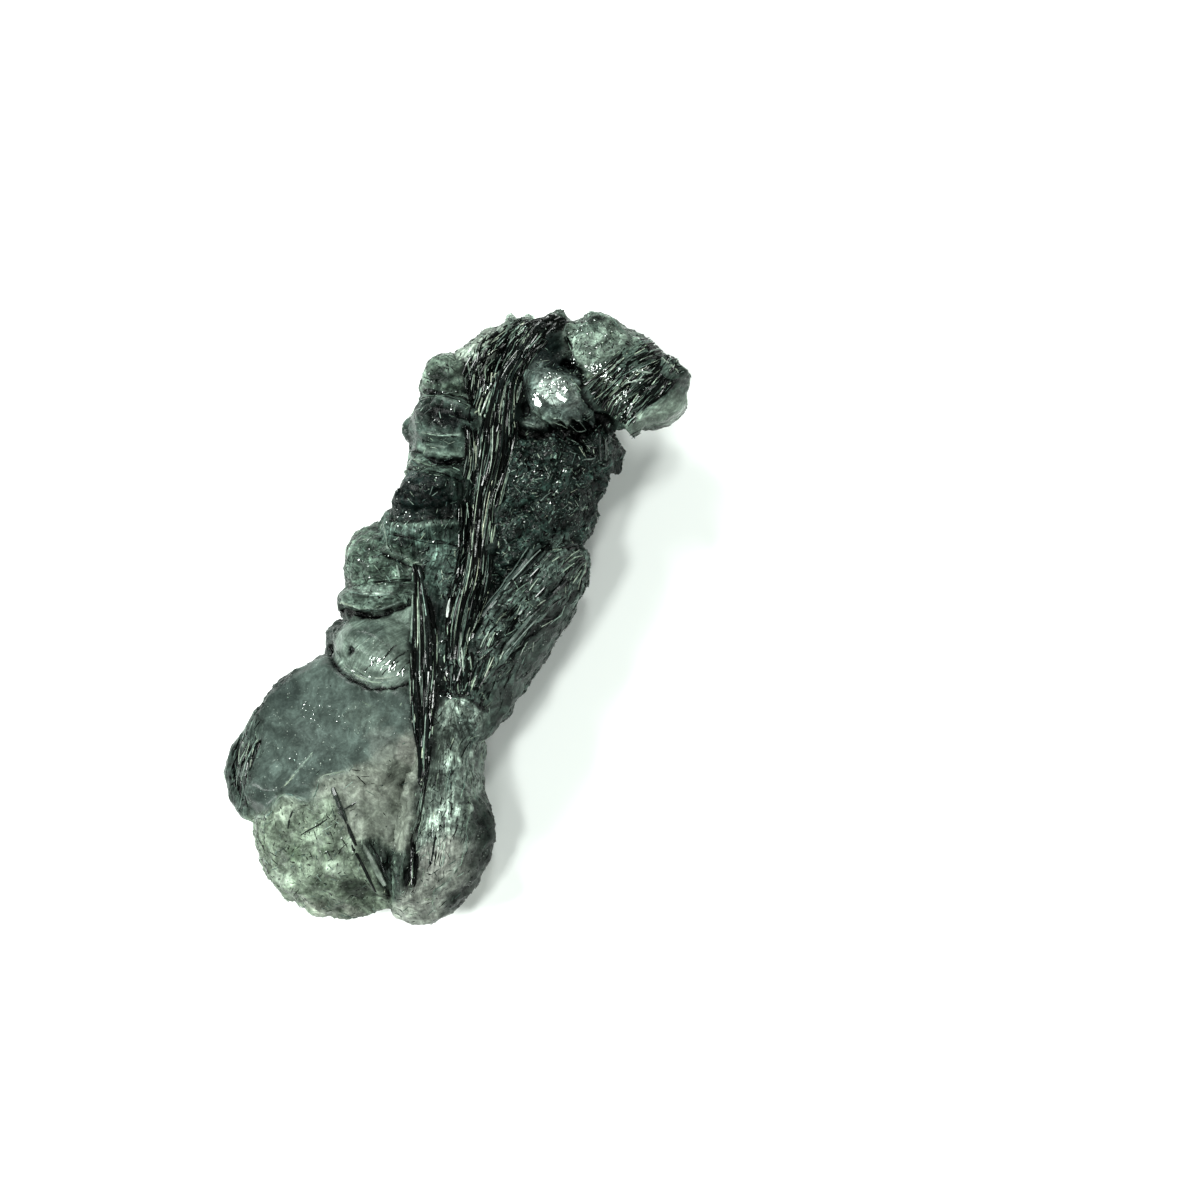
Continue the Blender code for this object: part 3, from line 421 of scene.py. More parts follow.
# Single rods lying on the faces: start, end, half width, half height, sRGB colour, how far they stand proud.
RODS = (
    ((-1.4, -11.3), (0.0, -12.7), 0.17, 0.09, (50, 60, 54), 0.02),
    ((-1.2, -11.4), (0.1, -12.8), 0.05, 0.06, (12, 18, 16), 0.1),
    ((0.0, -12.7), (1.0, -13.7), 0.1, 0.08, (14, 20, 18), 0.03),
    ((0.6, -13.6), (2.5, -15.6), 0.08, 0.07, (12, 18, 16), 0.03),
    ((1.2, -13.5), (2.8, -15.1), 0.15, 0.06, (118, 130, 119), 0.03),
    ((1.5, -13.3), (3.0, -14.8), 0.05, 0.06, (14, 20, 18), 0.04),
    ((-2.3, -14.2), (-0.9, -12.8), 0.045, 0.04, (40, 46, 42), 0.02),
    ((-0.6, -12.5), (0.3, -11.4), 0.045, 0.04, (40, 46, 42), 0.02),
    ((-3.2, -13.0), (-3.1, -14.1), 0.05, 0.04, (30, 38, 34), 0.02),
    ((4.9, 4.4), (3.1, -0.1), 0.17, 0.12, (66, 80, 75), 0.1),
    ((5.0, 4.2), (3.35, -0.2), 0.035, 0.05, (178, 194, 186), 0.18),
    ((4.7, 4.4), (3.0, 0.4), 0.03, 0.05, (120, 138, 130), 0.12),
    ((5.3, 4.4), (4.2, 1.2), 0.08, 0.1, (26, 35, 33), 0.05),
    ((6.7, 3.2), (5.9, 0.8), 0.09, 0.08, (24, 32, 30), 0.04),
    ((6.0, 1.0), (5.1, -1.6), 0.09, 0.09, (88, 102, 95), 0.04),
    ((6.2, 0.9), (5.2, -1.8), 0.03, 0.05, (160, 176, 168), 0.1),
    ((3.7, 5.6), (3.1, 4.2), 0.09, 0.08, (64, 78, 72), 0.05),
    ((5.4, 9.4), (5.9, 9.9), 0.04, 0.05, (130, 148, 140), 0.05),
    ((4.6, 7.2), (4.1, 6.2), 0.035, 0.05, (120, 138, 130), 0.05),
    ((1.3, 0.2), (1.5, -0.8), 0.1, 0.08, (226, 234, 228), 0.16),
    ((5.7, 11.5), (6.2, 9.8), 0.06, 0.1, (34, 44, 40), 0.05),
    ((5.95, 11.4), (6.35, 10.0), 0.03, 0.08, (84, 98, 90), 0.05),
    ((6.6, 14.8), (7.6, 15.0), 0.06, 0.06, (150, 166, 154), 0.04),
    ((6.2, 13.9), (7.2, 14.5), 0.06, 0.06, (156, 172, 160), 0.06),
    ((-2.4, 1.2), (-1.7, 0.2), 0.05, 0.05, (150, 168, 156), 0.03),
    ((-3.9, 2.9), (-2.8, 1.4), 0.04, 0.05, (140, 160, 146), 0.03),
)

# Grains on each face: how many per square mm, shortest and longest in mm, thickness to length, darkest and palest
# sRGB grey-green, and the share that stands on end.
GRAINS = {
    "shoulder": (44.0, 0.1, 0.3, 0.5, (1, 160), 0.3),
    "flank": (22.0, 0.1, 0.32, 0.42, (1, 150), 0.2),
    "flank_side": (3.0, 0.12, 0.34, 0.36, (8, 90), 0.2),
    "columns": (22.0, 0.1, 0.34, 0.44, (2, 180), 0.3),
    "cap_green": (18.0, 0.06, 0.2, 0.5, (8, 210), 0.4),
    "cap_ribs": (5.0, 0.07, 0.26, 0.4, (10, 190), 0.3),
    "dome": (8.0, 0.06, 0.2, 0.5, (4, 230), 0.3),
    "dome_back": (5.0, 0.1, 0.3, 0.4, (3, 80), 0.3),
    "lump_a": (1.5, 0.1, 0.3, 0.34, (14, 140), 0.1),
    "lump_b": (3.0, 0.1, 0.32, 0.34, (10, 150), 0.15),
    "lump_c": (5.0, 0.1, 0.36, 0.3, (4, 130), 0.2),
    "lump_d": (6.0, 0.1, 0.3, 0.45, (1, 50), 0.3),
    "lump_e": (4.0, 0.1, 0.32, 0.4, (6, 150), 0.2),
    "lump_f": (1.2, 0.1, 0.3, 0.5, (2, 70), 0.2),
    "lump_g": (2.5, 0.1, 0.34, 0.5, (4, 100), 0.2),
    "lump_h": (3.5, 0.1, 0.32, 0.34, (10, 150), 0.2),
    "crest": (6.0, 0.1, 0.32, 0.34, (3, 140), 0.3),
    "stem_left": (10.0, 0.1, 0.36, 0.3, (2, 130), 0.2),
    "under_needles": (4.0, 0.1, 0.34, 0.3, (2, 150), 0.2),
    "heel_top": (1.6, 0.08, 0.26, 0.3, (14, 150), 0.1),
    "heel_side": (3.0, 0.12, 0.34, 0.4, (4, 70), 0.2),
    "heel": (0.4, 0.08, 0.22, 0.4, (40, 160), 0.1),
    "lobe": (1.4, 0.08, 0.26, 0.3, (12, 180), 0.1),
    "lobe_edge": (3.0, 0.08, 0.3, 0.2, (4, 130), 0.1),
    "ledge": (1.6, 0.08, 0.3, 0.2, (4, 130), 0.1),
    "plate_rim": (4.0, 0.08, 0.3, 0.4, (4, 110), 0.2),
    "lens_rim": (4.0, 0.1, 0.3, 0.36, (4, 140), 0.2),
    "middle": (0.7, 0.06, 0.18, 0.4, (60, 200), 0.1),
    "plate": (0.5, 0.05, 0.14, 0.5, (90, 210), 0.1),
}

# Fine strokes on the faces, pale edges and dark hairs, for each square mm.
STROKES = {
    "shoulder": 13.0, "flank": 16.0, "flank_side": 4.0, "columns": 10.0, "cap_green": 6.0, "cap_ribs": 6.0, "dome": 4.0,
    "dome_back": 3.0, "lump_a": 8.0, "lump_b": 10.0, "lump_c": 9.0, "lump_d": 4.0, "lump_e": 6.0, "lump_f": 5.0,
    "lump_g": 7.0, "lump_h": 8.0, "crest": 4.0, "stem_left": 8.0, "heel_top": 12.0, "heel": 6.0, "heel_side": 2.0,
    "lobe": 6.0, "lobe_edge": 8.0, "ledge": 6.0, "lens": 0.8, "lens_rim": 3.0, "middle": 0.8, "plate": 0.15,
    "plate_rim": 3.0,
}

# Cleavage faces share one lie through the whole group. Each cluster: middle, reach along X and Y, how many,
# smallest and largest half length, how many times longer than wide, their lie from +X in degrees.
CLEAVAGE = (-0.147, -0.41, 0.9)
CLEAVED = (
    ((2.65, 11.35), (0.2, 0.13), 5, (0.2, 0.34), 1.7, 150),
    ((2.45, 11.6), (0.25, 0.2), 6, (0.08, 0.16), 1.5, 150),
    ((4.0, 11.85), (0.16, 0.06), 3, (0.24, 0.3), 1.7, 160),
    ((3.8, 11.9), (0.3, 0.16), 4, (0.1, 0.16), 1.3, 160),
    ((4.2, 12.4), (0.4, 0.3), 9, (0.08, 0.17), 1.6, 40),
    ((3.4, 12.4), (1.0, 0.9), 60, (0.03, 0.1), 1.6, 40),
    ((1.5, 11.0), (0.3, 0.3), 6, (0.05, 0.1), 1.5, 40),
    ((2.6, 9.75), (0.4, 0.1), 6, (0.1, 0.18), 2.0, 10),
    ((4.8, 13.8), (0.9, 0.7), 130, (0.03, 0.09), 1.6, 40),
    ((3.9, 15.4), (1.5, 1.4), 40, (0.03, 0.06), 1.6, 40),
    ((6.4, 13.0), (0.6, 0.7), 44, (0.05, 0.12), 2.2, 64),
    ((6.6, 14.2), (1.0, 0.9), 26, (0.03, 0.08), 2.4, 64),
    ((0.9, 6.8), (0.7, 0.45), 30, (0.05, 0.13), 1.5, 100),
    ((1.3, 5.8), (0.5, 0.5), 8, (0.04, 0.08), 1.6, 100),
    ((-0.8, 11.6), (0.6, 1.1), 30, (0.07, 0.18), 4.0, 100),
    ((-0.6, -4.3), (0.9, 0.35), 34, (0.07, 0.2), 3.6, 62),
    ((-1.9, -5.1), (0.8, 0.2), 8, (0.05, 0.1), 3.0, 10),
    ((4.4, 7.0), (2.0, 2.6), 60, (0.03, 0.07), 2.4, 70),
    ((5.4, 0.8), (1.0, 3.0), 34, (0.03, 0.07), 2.4, 68),
    ((-2.2, 5.6), (1.2, 0.5), 5, (0.03, 0.06), 1.5, 20),
    ((-3.2, 10.5), (1.4, 2.0), 12, (0.03, 0.06), 1.5, 20),
    ((-2.6, 1.6), (2.0, 2.4), 34, (0.03, 0.07), 2.0, 60),
    ((-3.3, -7.8), (1.6, 0.7), 26, (0.025, 0.06), 1.5, 40),
    ((-4.0, -10.5), (0.7, 0.4), 4, (0.03, 0.06), 1.5, 40),
    ((-1.0, -14.8), (2.6, 1.6), 22, (0.03, 0.07), 1.8, 60),
    ((4.4, -9.0), (0.8, 4.0), 26, (0.03, 0.07), 2.2, 100),
    ((2.3, -1.6), (1.0, 2.4), 30, (0.03, 0.09), 3.0, 105),
    ((2.8, -4.7), (0.5, 0.2), 8, (0.05, 0.09), 2.0, 0),
    ((2.2, -7.2), (0.3, 0.5), 6, (0.05, 0.1), 2.0, 100),
)

# Clear flakes on the edges: middle, height above the table, reach, thickness.
FLAKES = (
    ((-1.2, 15.6), 7.4, 0.58, 0.1),
    ((-0.5, 16.0), 7.2, 0.5, 0.1),
    ((-2.2, 14.9), 7.0, 0.56, 0.1),
    ((-4.6, 12.1), 6.2, 0.52, 0.12),
    ((-4.9, 11.5), 5.8, 0.45, 0.12),
    ((-4.7, 8.2), 6.2, 0.36, 0.12),
    ((-4.9, 8.7), 5.7, 0.34, 0.12),
    ((-3.9, 6.6), 6.9, 0.24, 0.1),
    ((-4.2, 6.2), 6.2, 0.26, 0.1),
    ((8.7, 15.1), 6.6, 0.26, 0.1),
)


def linear(level):
    """An sRGB level from 0 to 255 as the linear value that a shader takes."""
    share = level / 255.0
    return share / 12.92 if share <= 0.04045 else ((share + 0.055) / 1.055) ** 2.4


def paint(colour):
    """The paint that shows as this sRGB colour under the studio's light."""
    return np.array([linear(level) for level in colour]) * PAINT


def place_mesh(name, mesh, material):
    """Scales a mesh in millimetres to the frame, puts it in the scene and ties it to the crystal."""
    mesh.transform(Matrix.Scale(MM, 4))
    mesh.materials.clear()
    mesh.materials.append(material)
    piece = bpy.data.objects.new(name, mesh)
    bpy.context.scene.collection.objects.link(piece)
    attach(piece, "root")
    return piece


def add_values(mesh, name, values, kind="FLOAT"):
    """Stores a value or a colour for each vertex, which the materials read."""
    attribute = mesh.attributes.new(name, kind, "POINT")
    if kind == "FLOAT":
        attribute.data.foreach_set("value", np.ascontiguousarray(values, dtype=np.float32))
    else:
        full = np.ones((len(values), 4), dtype=np.float32)
        full[:, :3] = values
        attribute.data.foreach_set("color", full.ravel())


def ease(share):
    """A share from 0 to 1, slowed at both ends."""
    return share * share * (3.0 - 2.0 * share)


def flat_heading(angle):
    return Vector((math.cos(angle), math.sin(angle), 0.0))


def length_of(points):
    return sum((Vector(b) - Vector(a)).length for a, b in zip(points, points[1:]))


# The skin of the crystals.


def fine_mesh():
    """A copy of the CAD solid in millimetres, rebuilt from small even faces."""
    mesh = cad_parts[NODE].data.copy()
    mesh.transform(Matrix.Scale(1.0 / MM, 4))
    draft = bpy.data.objects.new("draft", mesh)
    bpy.context.scene.collection.objects.link(draft)
    even = draft.modifiers.new("even", "REMESH")
    even.mode = "VOXEL"
    even.voxel_size = VOXEL
    graph = bpy.context.evaluated_depsgraph_get()
    fine = bpy.data.meshes.new_from_object(draft.evaluated_get(graph))
    bpy.data.objects.remove(draft)
    return fine


def points_of(mesh, what="co"):
    values = np.empty(len(mesh.vertices) * 3, dtype=np.float32)
    if what == "co":
        mesh.vertices.foreach_get("co", values)
    else:
        mesh.vertex_normals.foreach_get("vector", values)
    return values.reshape(-1, 3).astype(float)


def distance_to_line(spots, points, closed=False):
    """Distance of each spot from a run of points, seen from above."""
    nearest = np.full(len(spots), 1e9)
    ends = list(zip(points, points[1:]))
    if closed:
        ends.append((points[-1], points[0]))
    for a, b in ends:
        a, b = np.array(a, dtype=float), np.array(b, dtype=float)
        reach = b - a
        share = np.clip(((spots - a) @ reach) / (reach @ reach), 0.0, 1.0)
        nearest = np.minimum(nearest, np.linalg.norm(spots - (a + share[:, None] * reach), axis=1))
    return nearest


def depth_inside(spots, outline):
    """How far each spot is inside an outline, or outside it if below zero."""
    inside = np.zeros(len(spots), dtype=bool)
    x, y = spots[:, 0], spots[:, 1]
    for (ax, ay), (bx, by) in zip(outline, outline[1:] + outline[:1]):
        crosses = (ay > y) != (by > y)
        inside ^= crosses & (x < (bx - ax) * (y - ay) / ((by - ay) or 1e-9) + ax)
    distance = distance_to_line(spots, outline, closed=True)
    return np.where(inside, distance, -distance)


def face_shares(spots, soft=0.2):
    """How much of each face every spot belongs to. Their edges run a little ragged."""
    wide = np.array([noise.noise_vector(Vector((x * 0.7, y * 0.7, 3.0))) for x, y in spots])[:, :2]
    fine = np.array([noise.noise_vector(Vector((x * 2.9, y * 2.9, 6.0))) for x, y in spots])[:, :2]
    ragged = 0.45 * wide + 0.2 * fine
    depths = np.stack([depth_inside(spots + ragged, face.outline) for face in FACES.values()], axis=1)
    shares = np.exp((depths - depths.max(axis=1, keepdims=True)) / soft)
    return shares / shares.sum(axis=1, keepdims=True)


def broken(spot, size, turn):
    """Height of a surface broken into small tilted facets, and how near its cracks are, from 0 to 1."""
    place = Vector((spot[0] / size, spot[1] / size, spot[2] / size + turn))
    distances, cells = noise.voronoi(place)
    cell = cells[0]
    tilt = noise.noise_vector(cell * 5.7)
    return tilt.dot(place - cell) + 0.6 * tilt.x, max(0.0, 1.0 - (distances[1] - distances[0]) * 6.0)


def terrace(value):
    """A value turned into flat steps with short rises between them."""
    step = math.floor(value)
    return step + ease(min(1.0, max(0.0, (value - step - 0.36) / 0.28)))


def break_up(spots, relief, facets, streaks, across, along):
    """Height of the relief at each spot, and how near the spot is to a crack, from 0 to 1."""
    height = np.zeros(len(spots))
    crack = np.zeros(len(spots))
    for i, spot in enumerate(spots):
        here = Vector(spot)
        lumps = noise.fractal(here * 1.1, 1.0, 2.0, 4)
        large, crack_large = broken(spot, LARGE_FACET, 0.0)
        small, crack_small = broken(spot, SMALL_FACET, 9.0)
        streak = noise.noise(Vector((across[i] * 4.5, along[i] * 0.35, 5.0)))
        level = terrace(noise.fractal(here * 0.8 + Vector((0.0, 0.0, 7.0)), 0.9, 2.0, 5) * 3.2)
        height[i] = relief[i] * (
            0.8 * lumps + facets[i] * (1.8 * large + 1.2 * small) + streaks[i] * 1.3 * streak + 0.5 * level
        )
        crack[i] = facets[i] * max(crack_large, 0.8 * crack_small)
    return height, crack


def draw_lines(flat, normals, height, colour):
    """Cuts and paints the lines in place. Returns how strongly each spot is in a crevice, which takes painted shade."""
    crevices = np.zeros(len(flat))
    for points, width, depth, shade, strength in LINES:
        wobble = 0.25 * width * np.sin(flat[:, 0] * 7.0 + flat[:, 1] * 5.0)
        near = ease(np.clip(1.0 - (distance_to_line(flat, points) + wobble) / width, 0.0, 1.0)) * (normals[:, 2] > -0.1)
        height -= depth * near
        colour += (paint(shade) - colour) * (strength * near)[:, None]
        if depth > CREVICE:
            crevices = np.maximum(crevices, near * strength)
    return crevices


def draw_patches(flat, normals, height, colour):
    """Sinks and paints the soft patches in place."""
    ragged = np.array([noise.noise(Vector((x * 2.3, y * 2.3, 8.0))) for x, y in flat]) * 0.6
    for middle, reach, shade, strength, depth in PATCHES:
        off = (flat - np.array(middle)) / np.array(reach)
        near = np.clip((1.25 - np.hypot(off[:, 0], off[:, 1]) + ragged) / 0.5, 0.0, 1.0) * (normals[:, 2] > 0.0)
        height -= depth * near
        colour += (paint(shade) - colour) * (strength * near)[:, None]


def shape_skin(mesh):
    """Gives the skin its relief and stores what its material reads. Returns the shares of faces and the crevices."""
    spots = points_of(mesh)
    normals = points_of(mesh, "normal")
    flat = spots[:, :2]
    shares = face_shares(flat)
    faces = list(FACES.values())
    colour = shares @ np.array([paint(face.colour) for face in faces])
    contrast, relief, facets, gloss, streaks = (
        shares @ np.array([getattr(face, what) for face in faces])
        for what in ("contrast", "relief", "facets", "gloss", "streaks")
    )
    streaks = streaks * np.clip(0.2 + 1.2 * normals[:, 2], 0.0, 1.0)
    lies = np.radians([face.lie for face in faces])[shares.argmax(axis=1)]
    across = flat[:, 0] * np.sin(lies) - flat[:, 1] * np.cos(lies)
    along = flat[:, 0] * np.cos(lies) + flat[:, 1] * np.sin(lies)

    height, crack = break_up(spots, relief, facets, streaks, across, along)
    crevices = draw_lines(flat, normals, height, colour)
    draw_patches(flat, normals, height, colour)

    on_table = spots[:, 2] < ON_TABLE
    height[on_table] = 0.0
    moved = spots + normals * height[:, None]
    moved[:, 2] = np.maximum(moved[:, 2], 0.0)
    moved[on_table, 2] = np.minimum(moved[on_table, 2], 0.0)
    keep_in_box(moved)
    mesh.vertices.foreach_set("co", moved.astype(np.float32).ravel())
    mesh.update()

    # Painted shade: the skin's colour darkens where a spot is shut in.
    add_values(mesh, "hollow_shade", hollows(mesh, flat))
    add_values(mesh, "colour", colour, "FLOAT_COLOR")
    add_values(mesh, "contrast", contrast)
    add_values(mesh, "gloss", gloss)
    # Painted shade along the cracks between facets and in the cut crevices.
    add_values(mesh, "crack", np.clip(np.maximum(crack, crevices), 0.0, 1.0))
    add_values(mesh, "facets", facets)
    add_values(mesh, "streaks", streaks)
    add_values(mesh, "across", across)
    add_values(mesh, "along", along)
    return shares, crevices


def hollows(mesh, flat, reach=1.1, count=9):
    """How shut in each spot is, from 0 for open to 1 for deep in a crevice. The skin's colour darkens with it as
    painted shade.
    """
    spots, normals = points_of(mesh), points_of(mesh, "normal")
    tree = Ground(mesh).tree
    rays = []
    for k in range(count):
        lean, turn = math.asin(math.sqrt((k + 0.5) / count)), 2.4 * k
        rays.append((math.sin(lean) * math.cos(turn), math.sin(lean) * math.sin(turn), math.cos(lean)))
    shut = np.zeros(len(spots))
    for i, (spot, normal) in enumerate(zip(spots, normals)):
        up = Vector(normal)
        side = up.orthogonal().normalized()
        other = up.cross(side)
        start = Vector(spot) + up * 0.04
        hits = 0.0
        for a, b, c in rays:
            distance = tree.ray_cast(start, side * a + other * b + up * c, reach)[3]
            if distance is not None:
                hits += 1.0 - 0.7 * distance / reach
        shut[i] = hits / count
    shut = np.clip(shut * 1.6, 0.0, 1.0)
    for middle, opened in SHADE_LIFTED:
        off = (flat - np.array(middle)) / np.array(opened)
        shut *= 1.0 - 0.95 * np.clip(1.6 - np.hypot(off[:, 0], off[:, 1]), 0.0, 1.0)
    return shut


def keep_in_box(spots):
    """Pulls in what would stand out of the CAD solid's box by more than a little."""
    low, high = np.array(cad_box[0]) / MM, np.array(cad_box[1]) / MM
    for axis in range(3):
        spots[:, axis] = np.clip(spots[:, axis], low[axis] - EDGE_ROOM, high[axis] + EDGE_ROOM)
    spots[:, 2] = np.maximum(spots[:, 2], 0.0)


# What grows on the skin.


class Ground:
    """Finds the crystal's surface under a point."""

    def __init__(self, mesh):
        spots = [vertex.co.copy() for vertex in mesh.vertices]
        self.tree = BVHTree.FromPolygons(spots, [tuple(face.vertices) for face in mesh.polygons])

    def top(self, x, y, otherwise=6.0):
        spot = self.tree.ray_cast(Vector((x, y, SKY)), Vector((0.0, 0.0, -1.0)))[0]
        return otherwise if spot is None else spot.z

    def on(self, spot):
        """The point of the surface right under or over a spot."""
        return Vector((spot.x, spot.y, self.top(spot.x, spot.y)))


def along_curve(points, share):
    """The point that share of the way along a smooth curve through the points."""
    spans = len(points) - 1
    place = min(max(share, 0.0), 1.0) * spans
    i = min(int(place), spans - 1)
    t = place - i
    p0, p1, p2, p3 = (Vector(points[min(max(k, 0), spans)]) for k in (i - 1, i, i + 1, i + 2))
    return 0.5 * (2 * p1 + (p2 - p0) * t + (2 * p0 - 5 * p1 + 4 * p2 - p3) * t**2 + (3 * p1 - p0 - 3 * p2 + p3) * t**3)


class Growth:
    """Gathers many small closed bodies into one mesh, with a colour for each."""

    def __init__(self):
        self.spots = []
        self.faces = []
        self.colours = []
        self.runs = []

    def add_spot(self, spot, colour, run=0.0):
        self.spots.append(spot)
        self.colours.append(colour)
        self.runs.append(run)

    def close(self, start, rings, sides):
        """Joins rings of spots into the sides of a body, and closes its two ends."""
        for i in range(rings - 1):
            a = start + i * sides
            for k in range(sides):
                j = (k + 1) % sides
                self.faces.append((a + k, a + j, a + sides + j, a + sides + k))
        self.faces.append(tuple(start + k for k in reversed(range(sides))))
        self.faces.append(tuple(start + (rings - 1) * sides + k for k in range(sides)))

    def tube(self, points, radii, colour, sides=5, flat=1.0, turn=0.0):
        """A closed many-sided body that follows points, with a radius at each."""
        start = len(self.spots)
        last = len(points) - 1
        run = 0.0
        for i, point in enumerate(points):
            heading = (points[min(i + 1, last)] - points[max(i - 1, 0)]).normalized()
            across = heading.cross(Vector((0.0, 0.0, 1.0)))
            if across.length < 0.05:
                across = heading.cross(Vector((1.0, 0.0, 0.0)))
            across.normalize()
            above = across.cross(heading)
            if i:
                run += (point - points[i - 1]).length
            for k in range(sides):
                angle = turn + math.tau * k / sides
                spot = point + across * (math.cos(angle) * radii[i]) + above * (math.sin(angle) * radii[i] * flat)
                self.add_spot(spot, colour, run)
        self.close(start, len(points), sides)

    def shard(self, middle, normal, along, long, wide, thick, colour, chance):
        """A thin tablet with a broken outline, square to normal, its length along the given heading."""
        along = (along - normal * along.dot(normal)).normalized()
        across = normal.cross(along)
        sides = chance.choice((5, 6, 7, 8))
        start = len(self.spots)
        turn = chance.uniform(0.0, math.tau)
        corners = []
        for k in range(sides):
            angle = turn + math.tau * (k + chance.uniform(-0.3, 0.3)) / sides
            ragged = chance.uniform(0.55, 1.1)
            corners.append(along * (long * ragged * math.cos(angle)) + across * (wide * ragged * math.sin(angle)))
        for sunk in (thick, 0.0):
            for corner in corners:
                self.add_spot(middle - normal * sunk + corner, colour)
        self.close(start, 2, sides)

    def mesh(self, name):
        spots = np.array([tuple(spot) for spot in self.spots])
        keep_in_box(spots)
        mesh = bpy.data.meshes.new(name)
        mesh.from_pydata([tuple(spot) for spot in spots], [], self.faces)
        mesh.update()
        add_values(mesh, "colour", np.array(self.colours), "FLOAT_COLOR")
        add_values(mesh, "run", np.array(self.runs))
        return mesh


def grey_green(level, chance):
    """A mineral shade of that sRGB level: dark ones lean to blue-green, pale ones to grey-green."""
    light = level / 255.0
    warm = 0.76 + 0.18 * light + chance.uniform(-0.04, 0.04)
    cool = 0.94 - 0.04 * light + chance.uniform(-0.03, 0.03)
    return paint((level * warm, level, level * cool))


def needle_level(chance, pale):
    return chance.uniform(110, 240) if pale else chance.choice((chance.uniform(2, 10), chance.uniform(4, 34)))


def end_sizes(size, count, at_ends, thinnest, thickest, chance):
    """A radius for each point of a body: even along it, smaller at its two ends."""
    return [size * (at_ends if i in (0, count - 1) else chance.uniform(thinnest, thickest)) for i in range(count)]


def grow_needles(name, ground, left, right, count, radii, lift, pale, spans):
    """Needles side by side between a bundle's two edges, each its own length, in layers."""
    chance = random.Random(name)
    growth = Growth()
    length = length_of(left)
    for number in range(count):
        lane = (number + chance.uniform(0.1, 0.9)) / count
        start = max(0.0, chance.uniform(-0.15, 0.96))
        end = min(1.0, start + chance.uniform(*spans))
        if end - start < SHORTEST_NEEDLE:
            continue
        # A pale needle also stands for a painted highlight along the bundle.
        light = chance.random() < pale
        radius = chance.uniform(*radii) * (PALE_NEEDLE if light else 1.0)
        drift = chance.uniform(-0.12, 0.12)
        layer = lift * (1.0 - (2.0 * lane - 1.0) ** 2) * (1.1 if light else chance.uniform(0.1, 1.6))
        steps = max(3, round(length * (end - start) / NEEDLE_STEP))
        points = []
        for step in range(steps + 1):
            share = start + (end - start) * step / steps
            side = lane + drift * (step / steps - 0.5) + 0.03 * math.sin(9.0 * share + number)
            side = min(1.0, max(0.0, side))
            points.append(ground.on(along_curve(left, share).lerp(along_curve(right, share), side)))
        levels = [point.z for point in points]
        for i, point in enumerate(points):
            window = levels[max(0, i - 2):i + 3]
            point.z = 0.6 * sum(window) / len(window) + 0.4 * levels[i] + layer + radius * 0.3
        points[0].z -= 0.12
        points[-1].z -= 0.12
        sizes = end_sizes(radius, len(points), 0.55, 0.85, 1.1, chance)
        colour = grey_green(needle_level(chance, light), chance)
        growth.tube(points, sizes, colour, sides=5, flat=chance.uniform(0.7, 1.2), turn=chance.uniform(0.0, 1.2))
    return growth.mesh(name)


def grow_rods(ground):
    """Single rods that lie on the faces, their ends let in."""
    growth = Growth()
    chance = random.Random("rods")
    for start, end, half, tall, colour, proud in RODS:
        first, last = Vector(start), Vector(end)
        steps = max(3, round((last - first).length / 0.5))
        points = [ground.on(first.lerp(last, step / steps)) for step in range(steps + 1)]
        levels = [point.z for point in points]
        for i, point in enumerate(points):
            window = levels[max(0, i - 3):i + 4]
            point.z = max(sum(window) / len(window) + proud, levels[i] + 0.5 * proud)
        points[0].z -= 0.08
        points[-1].z -= 0.08
        sizes = end_sizes(half, len(points), 0.7, 0.92, 1.06, chance)
        growth.tube(points, sizes, paint(colour), sides=6, flat=tall / half, turn=0.26)
    return growth.mesh("rods")


def grow_edges(ground):
    """Thin pale edges and dark hairs along the narrow lines, broken here and there. In narrow dark crevices the hairs
    are painted shade.
    """
    growth = Growth()
    chance = random.Random("edges")
    for points, width, _, shade, _ in LINES:
        if width > HAIR:
            continue
        length = length_of(points)
        steps = max(4, round(length / 0.14))
        share = 0.0
        while share < 0.98:
            end = min(1.0, share + chance.uniform(0.25, 1.1) / length)
            count = max(2, round((end - share) * steps))
            shifted = chance.gauss(0.0, 0.03)
            body = []
            for step in range(count + 1):
                spot = along_curve(points, share + (end - share) * step / count)
                x, y = spot.x + shifted + chance.gauss(0.0, 0.012), spot.y + shifted
                body.append(Vector((x, y, ground.top(x, y) + 0.012)))
            thick = chance.uniform(0.022, 0.04)
            level = chance.uniform(120, 200) if shade is PALE else chance.uniform(2, 12)
            sizes = end_sizes(thick, len(body), 0.5, 0.8, 1.2, chance)
            growth.tube(body, sizes, grey_green(level, chance), sides=4, flat=0.8)
            share = end + chance.uniform(0.0, 0.12) / length
    return growth.mesh("edges")


def polygon_places(mesh):
    """Area, middle and first corner of each polygon."""
    areas = np.empty(len(mesh.polygons))
    mesh.polygons.foreach_get("area", areas)
    middles = np.empty(len(mesh.polygons) * 3)
    mesh.polygons.foreach_get("center", middles)
    firsts = np.empty(len(mesh.polygons), dtype=int)
    mesh.polygons.foreach_get("loop_start", firsts)
    corners = np.empty(len(mesh.loops), dtype=int)
    mesh.loops.foreach_get("vertex_index", corners)
    return areas, middles.reshape(-1, 3), corners[firsts]


def heading_on(normal, angle):
    """A heading seen from above, laid into the surface with that normal."""
    heading = flat_heading(angle)
    return (heading - normal * heading.dot(normal)).normalized()


